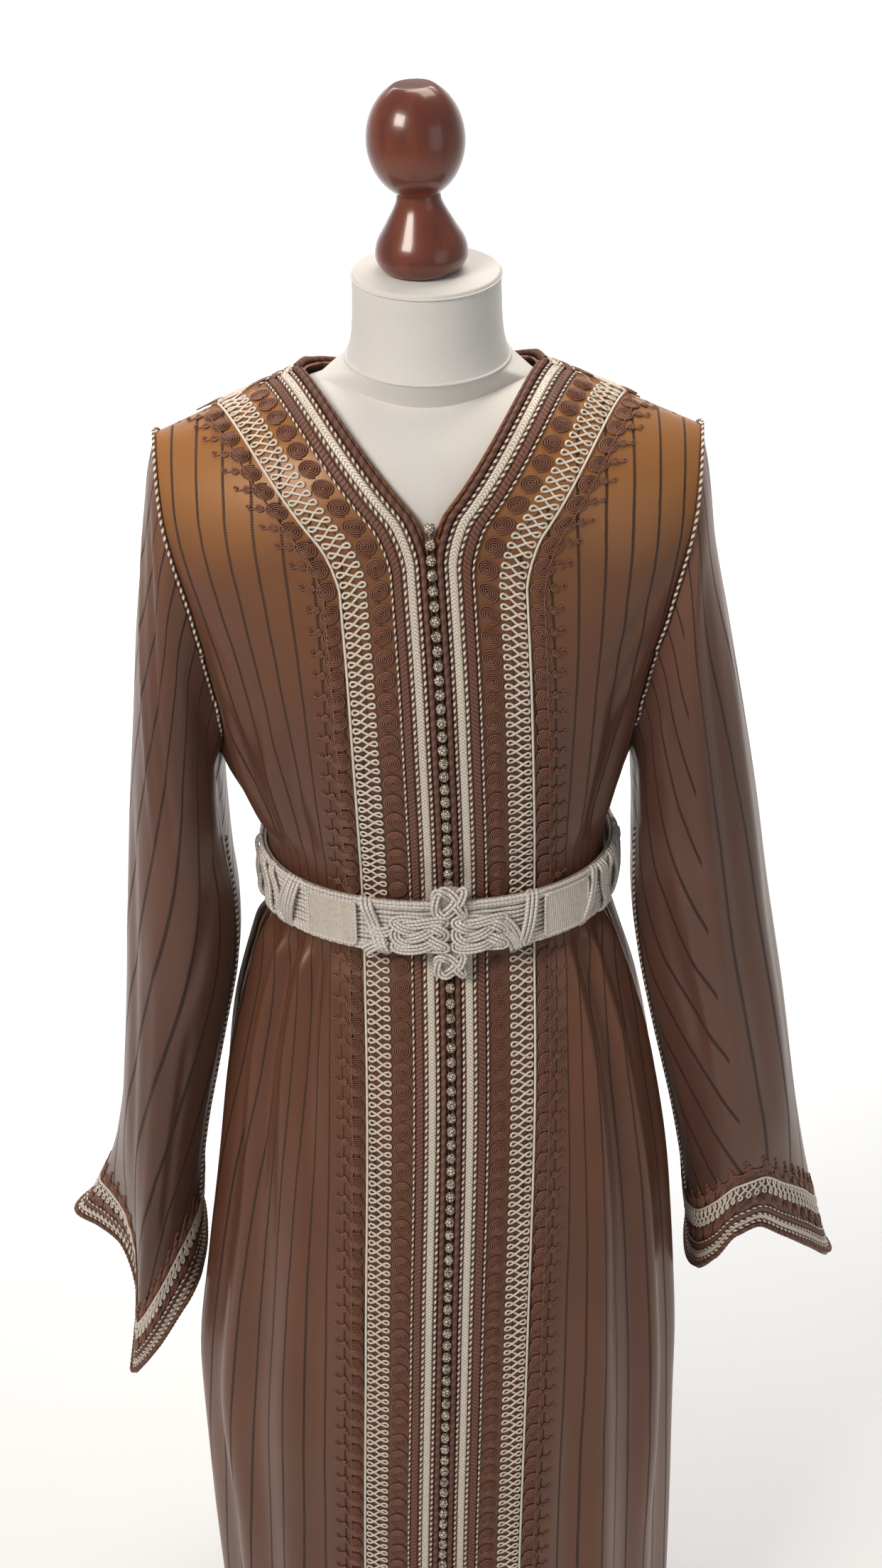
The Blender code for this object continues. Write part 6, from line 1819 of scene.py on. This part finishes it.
def makeForm():
    look = form
    tilt = Matrix.Rotation(look["neckTilt"], 4, "X")
    rings = [formRing(plateDistance(level), level, level) for level in
             np.interp(np.linspace(0, 13, 40), np.arange(14), formLevels)]
    rings += [formRing(*row) for row in shoulderRings]
    count = look["sidePoints"]
    neck = []
    for isBack in (False, True):
        turn = np.radians(look["ringTurn"] * np.linspace(-1.0, 1.0, count))
        sign = -1.0 if isBack else 1.0
        flat = np.stack((look["neckRadius"] * np.sin(turn) * sign, -look["neckRadius"] * np.cos(turn) * sign,
                         np.full(count, -0.0003)), -1)
        neck.append(flat @ np.array(tilt.to_3x3()).T + np.array(look["neckPlace"]))
    rings.append(np.concatenate(neck))
    addPiece(ringPiece("jersey_torso", np.array(rings), jersey), "jersey", "form_torso")
    addPiece(turnedPiece("neck_block", neckProfile, jersey, look["neckPlace"], tilt), "jersey", "form_neck")
    # raised seam round the foot of the neck, and the piping at its top
    turn = 2.0 * math.pi * np.arange(120) / 120
    parts = []
    for radius, height, size in ((0.0652, 0.0004, 0.0013), (0.0582, 0.0655, 0.0009)):
        ring = np.stack((radius * np.cos(turn), radius * np.sin(turn), np.full(120, height)), -1)
        ring = ring @ np.array(tilt.to_3x3()).T + np.array(look["neckPlace"])
        normals = unit(ring - np.array(look["neckPlace"]))
        parts.append((*cordParts(ring[None], normals[None], size, 6, True), 0))
    addPiece(joinParts("neck_piping", parts, [jersey]), "jersey")
    start = math.asin(ball["facet"] / ball["radius"])
    end = math.pi - math.asin(finialBase[-1][0] / ball["radius"])
    turn = np.linspace(start, end, 34)
    profile = [(ball["radius"] * math.sin(t), ball["height"] + ball["halfHeight"] * math.cos(t)) for t in turn]
    profile = [(0.0140, profile[0][1] + 0.0003)] + profile + list(reversed(finialBase[:-1]))
    seat = Vector((look["finialShift"], 0.0, neckProfile[0][1] + 0.0003 + look["finialSeat"]))
    place = Vector(look["neckPlace"]) + tilt.to_3x3() @ seat
    lean = Matrix.Rotation(look["finialLean"], 4, "Y") @ tilt
    addPiece(turnedPiece("turned_ball", profile, wood, tuple(place), lean), "wood", "finial")
    addPiece(turnedPiece("round_foot", footProfile, wood), "wood", "stand_foot")
    pole = [(0.0140, 0.7997), (0.0150, 0.7985)] + [(0.0150, h) for h in np.linspace(0.78, 0.06, 20)]
    pole += [(0.0150, 0.0440), (0.0146, 0.0423)]
    addPiece(turnedPiece("wooden_pole", pole, wood, sides=48), "wood", "stand_pole")


makeForm()
print("form done")

# floor, lights and world

studio = {
    "floor": (0.80, 0.80, 0.79), "world": (0.93, 0.95, 1.0), "worldStrength": 0.30, "exposure": 0.0,
    # place, target, size, power, colour
    "lights": (((-1.5, -1.7, 2.9), (0.0, 0.0, 1.10), (1.1, 0.9), 52.0, (1.0, 0.92, 0.84)),
               ((2.0, -1.8, 1.6), (0.0, 0.0, 0.85), (1.4, 1.8), 5.0, (0.96, 0.97, 1.0)),
               ((0.3, 0.5, 3.1), (0.0, 0.0, 1.20), (1.2, 0.9), 20.0, (1.0, 0.90, 0.78)),
               ((-0.2, 2.0, 3.4), (0.0, 3.2, 1.60), (3.0, 1.6), 120.0, (1.0, 1.0, 1.0)),
               ((0.0, 5.0, 5.2), (0.0, 8.4, 0.80), (7.0, 2.0), 420.0, (1.0, 1.0, 1.0))),
    # half width, radius where it starts to rise, how fast it rises
    "bowl": (9.6, 6.5, 0.35),
}


def makeStudio():
    material, nodes, links, shader = newMaterial("paleFloor")
    place = nodes.new("ShaderNodeTexCoord").outputs["Object"]
    mottle = ramp(nodes, links, noiseNode(nodes, links, place, 3.0, 4.0), 0.3, 0.7)
    tone = mixColor(nodes, links, mottle, studio["floor"], tuple(x * 0.985 for x in studio["floor"]))
    links.new(tone, shader.inputs["Base Color"])
    shader.inputs["Roughness"].default_value = 0.6
    # flat floor that rises all round, far from the figure
    reach, edge, rise = studio["bowl"]
    x, y = np.meshgrid(np.linspace(-reach, reach, 49), np.linspace(-reach, reach, 49), indexing="ij")
    grid = np.stack((x, y, rise * np.maximum(0.0, np.hypot(x, y) - edge) ** 2), -1)
    floor = meshPiece("floor", grid, gridFaces(49, 49, False), material)
    world = bpy.data.worlds.new("studio")
    bpy.context.scene.world = world
    world.use_nodes = True
    background = world.node_tree.nodes["Background"]
    background.inputs["Color"].default_value = (*studio["world"], 1.0)
    background.inputs["Strength"].default_value = studio["worldStrength"]
    for number, (place, target, size, power, color) in enumerate(studio["lights"]):
        light = bpy.data.lights.new("softLight_" + str(number), "AREA")
        light.shape = "RECTANGLE"
        light.size, light.size_y = size
        light.energy = power
        light.color = color
        lamp = bpy.data.objects.new("softLight_" + str(number), light)
        bpy.context.scene.collection.objects.link(lamp)
        lamp.location = place
        lamp.rotation_euler = (Vector(target) - Vector(place)).to_track_quat("-Z", "Y").to_euler()
    view = bpy.context.scene.view_settings
    view.view_transform = "Standard"
    view.exposure = studio["exposure"]


makeStudio()
print("studio done")
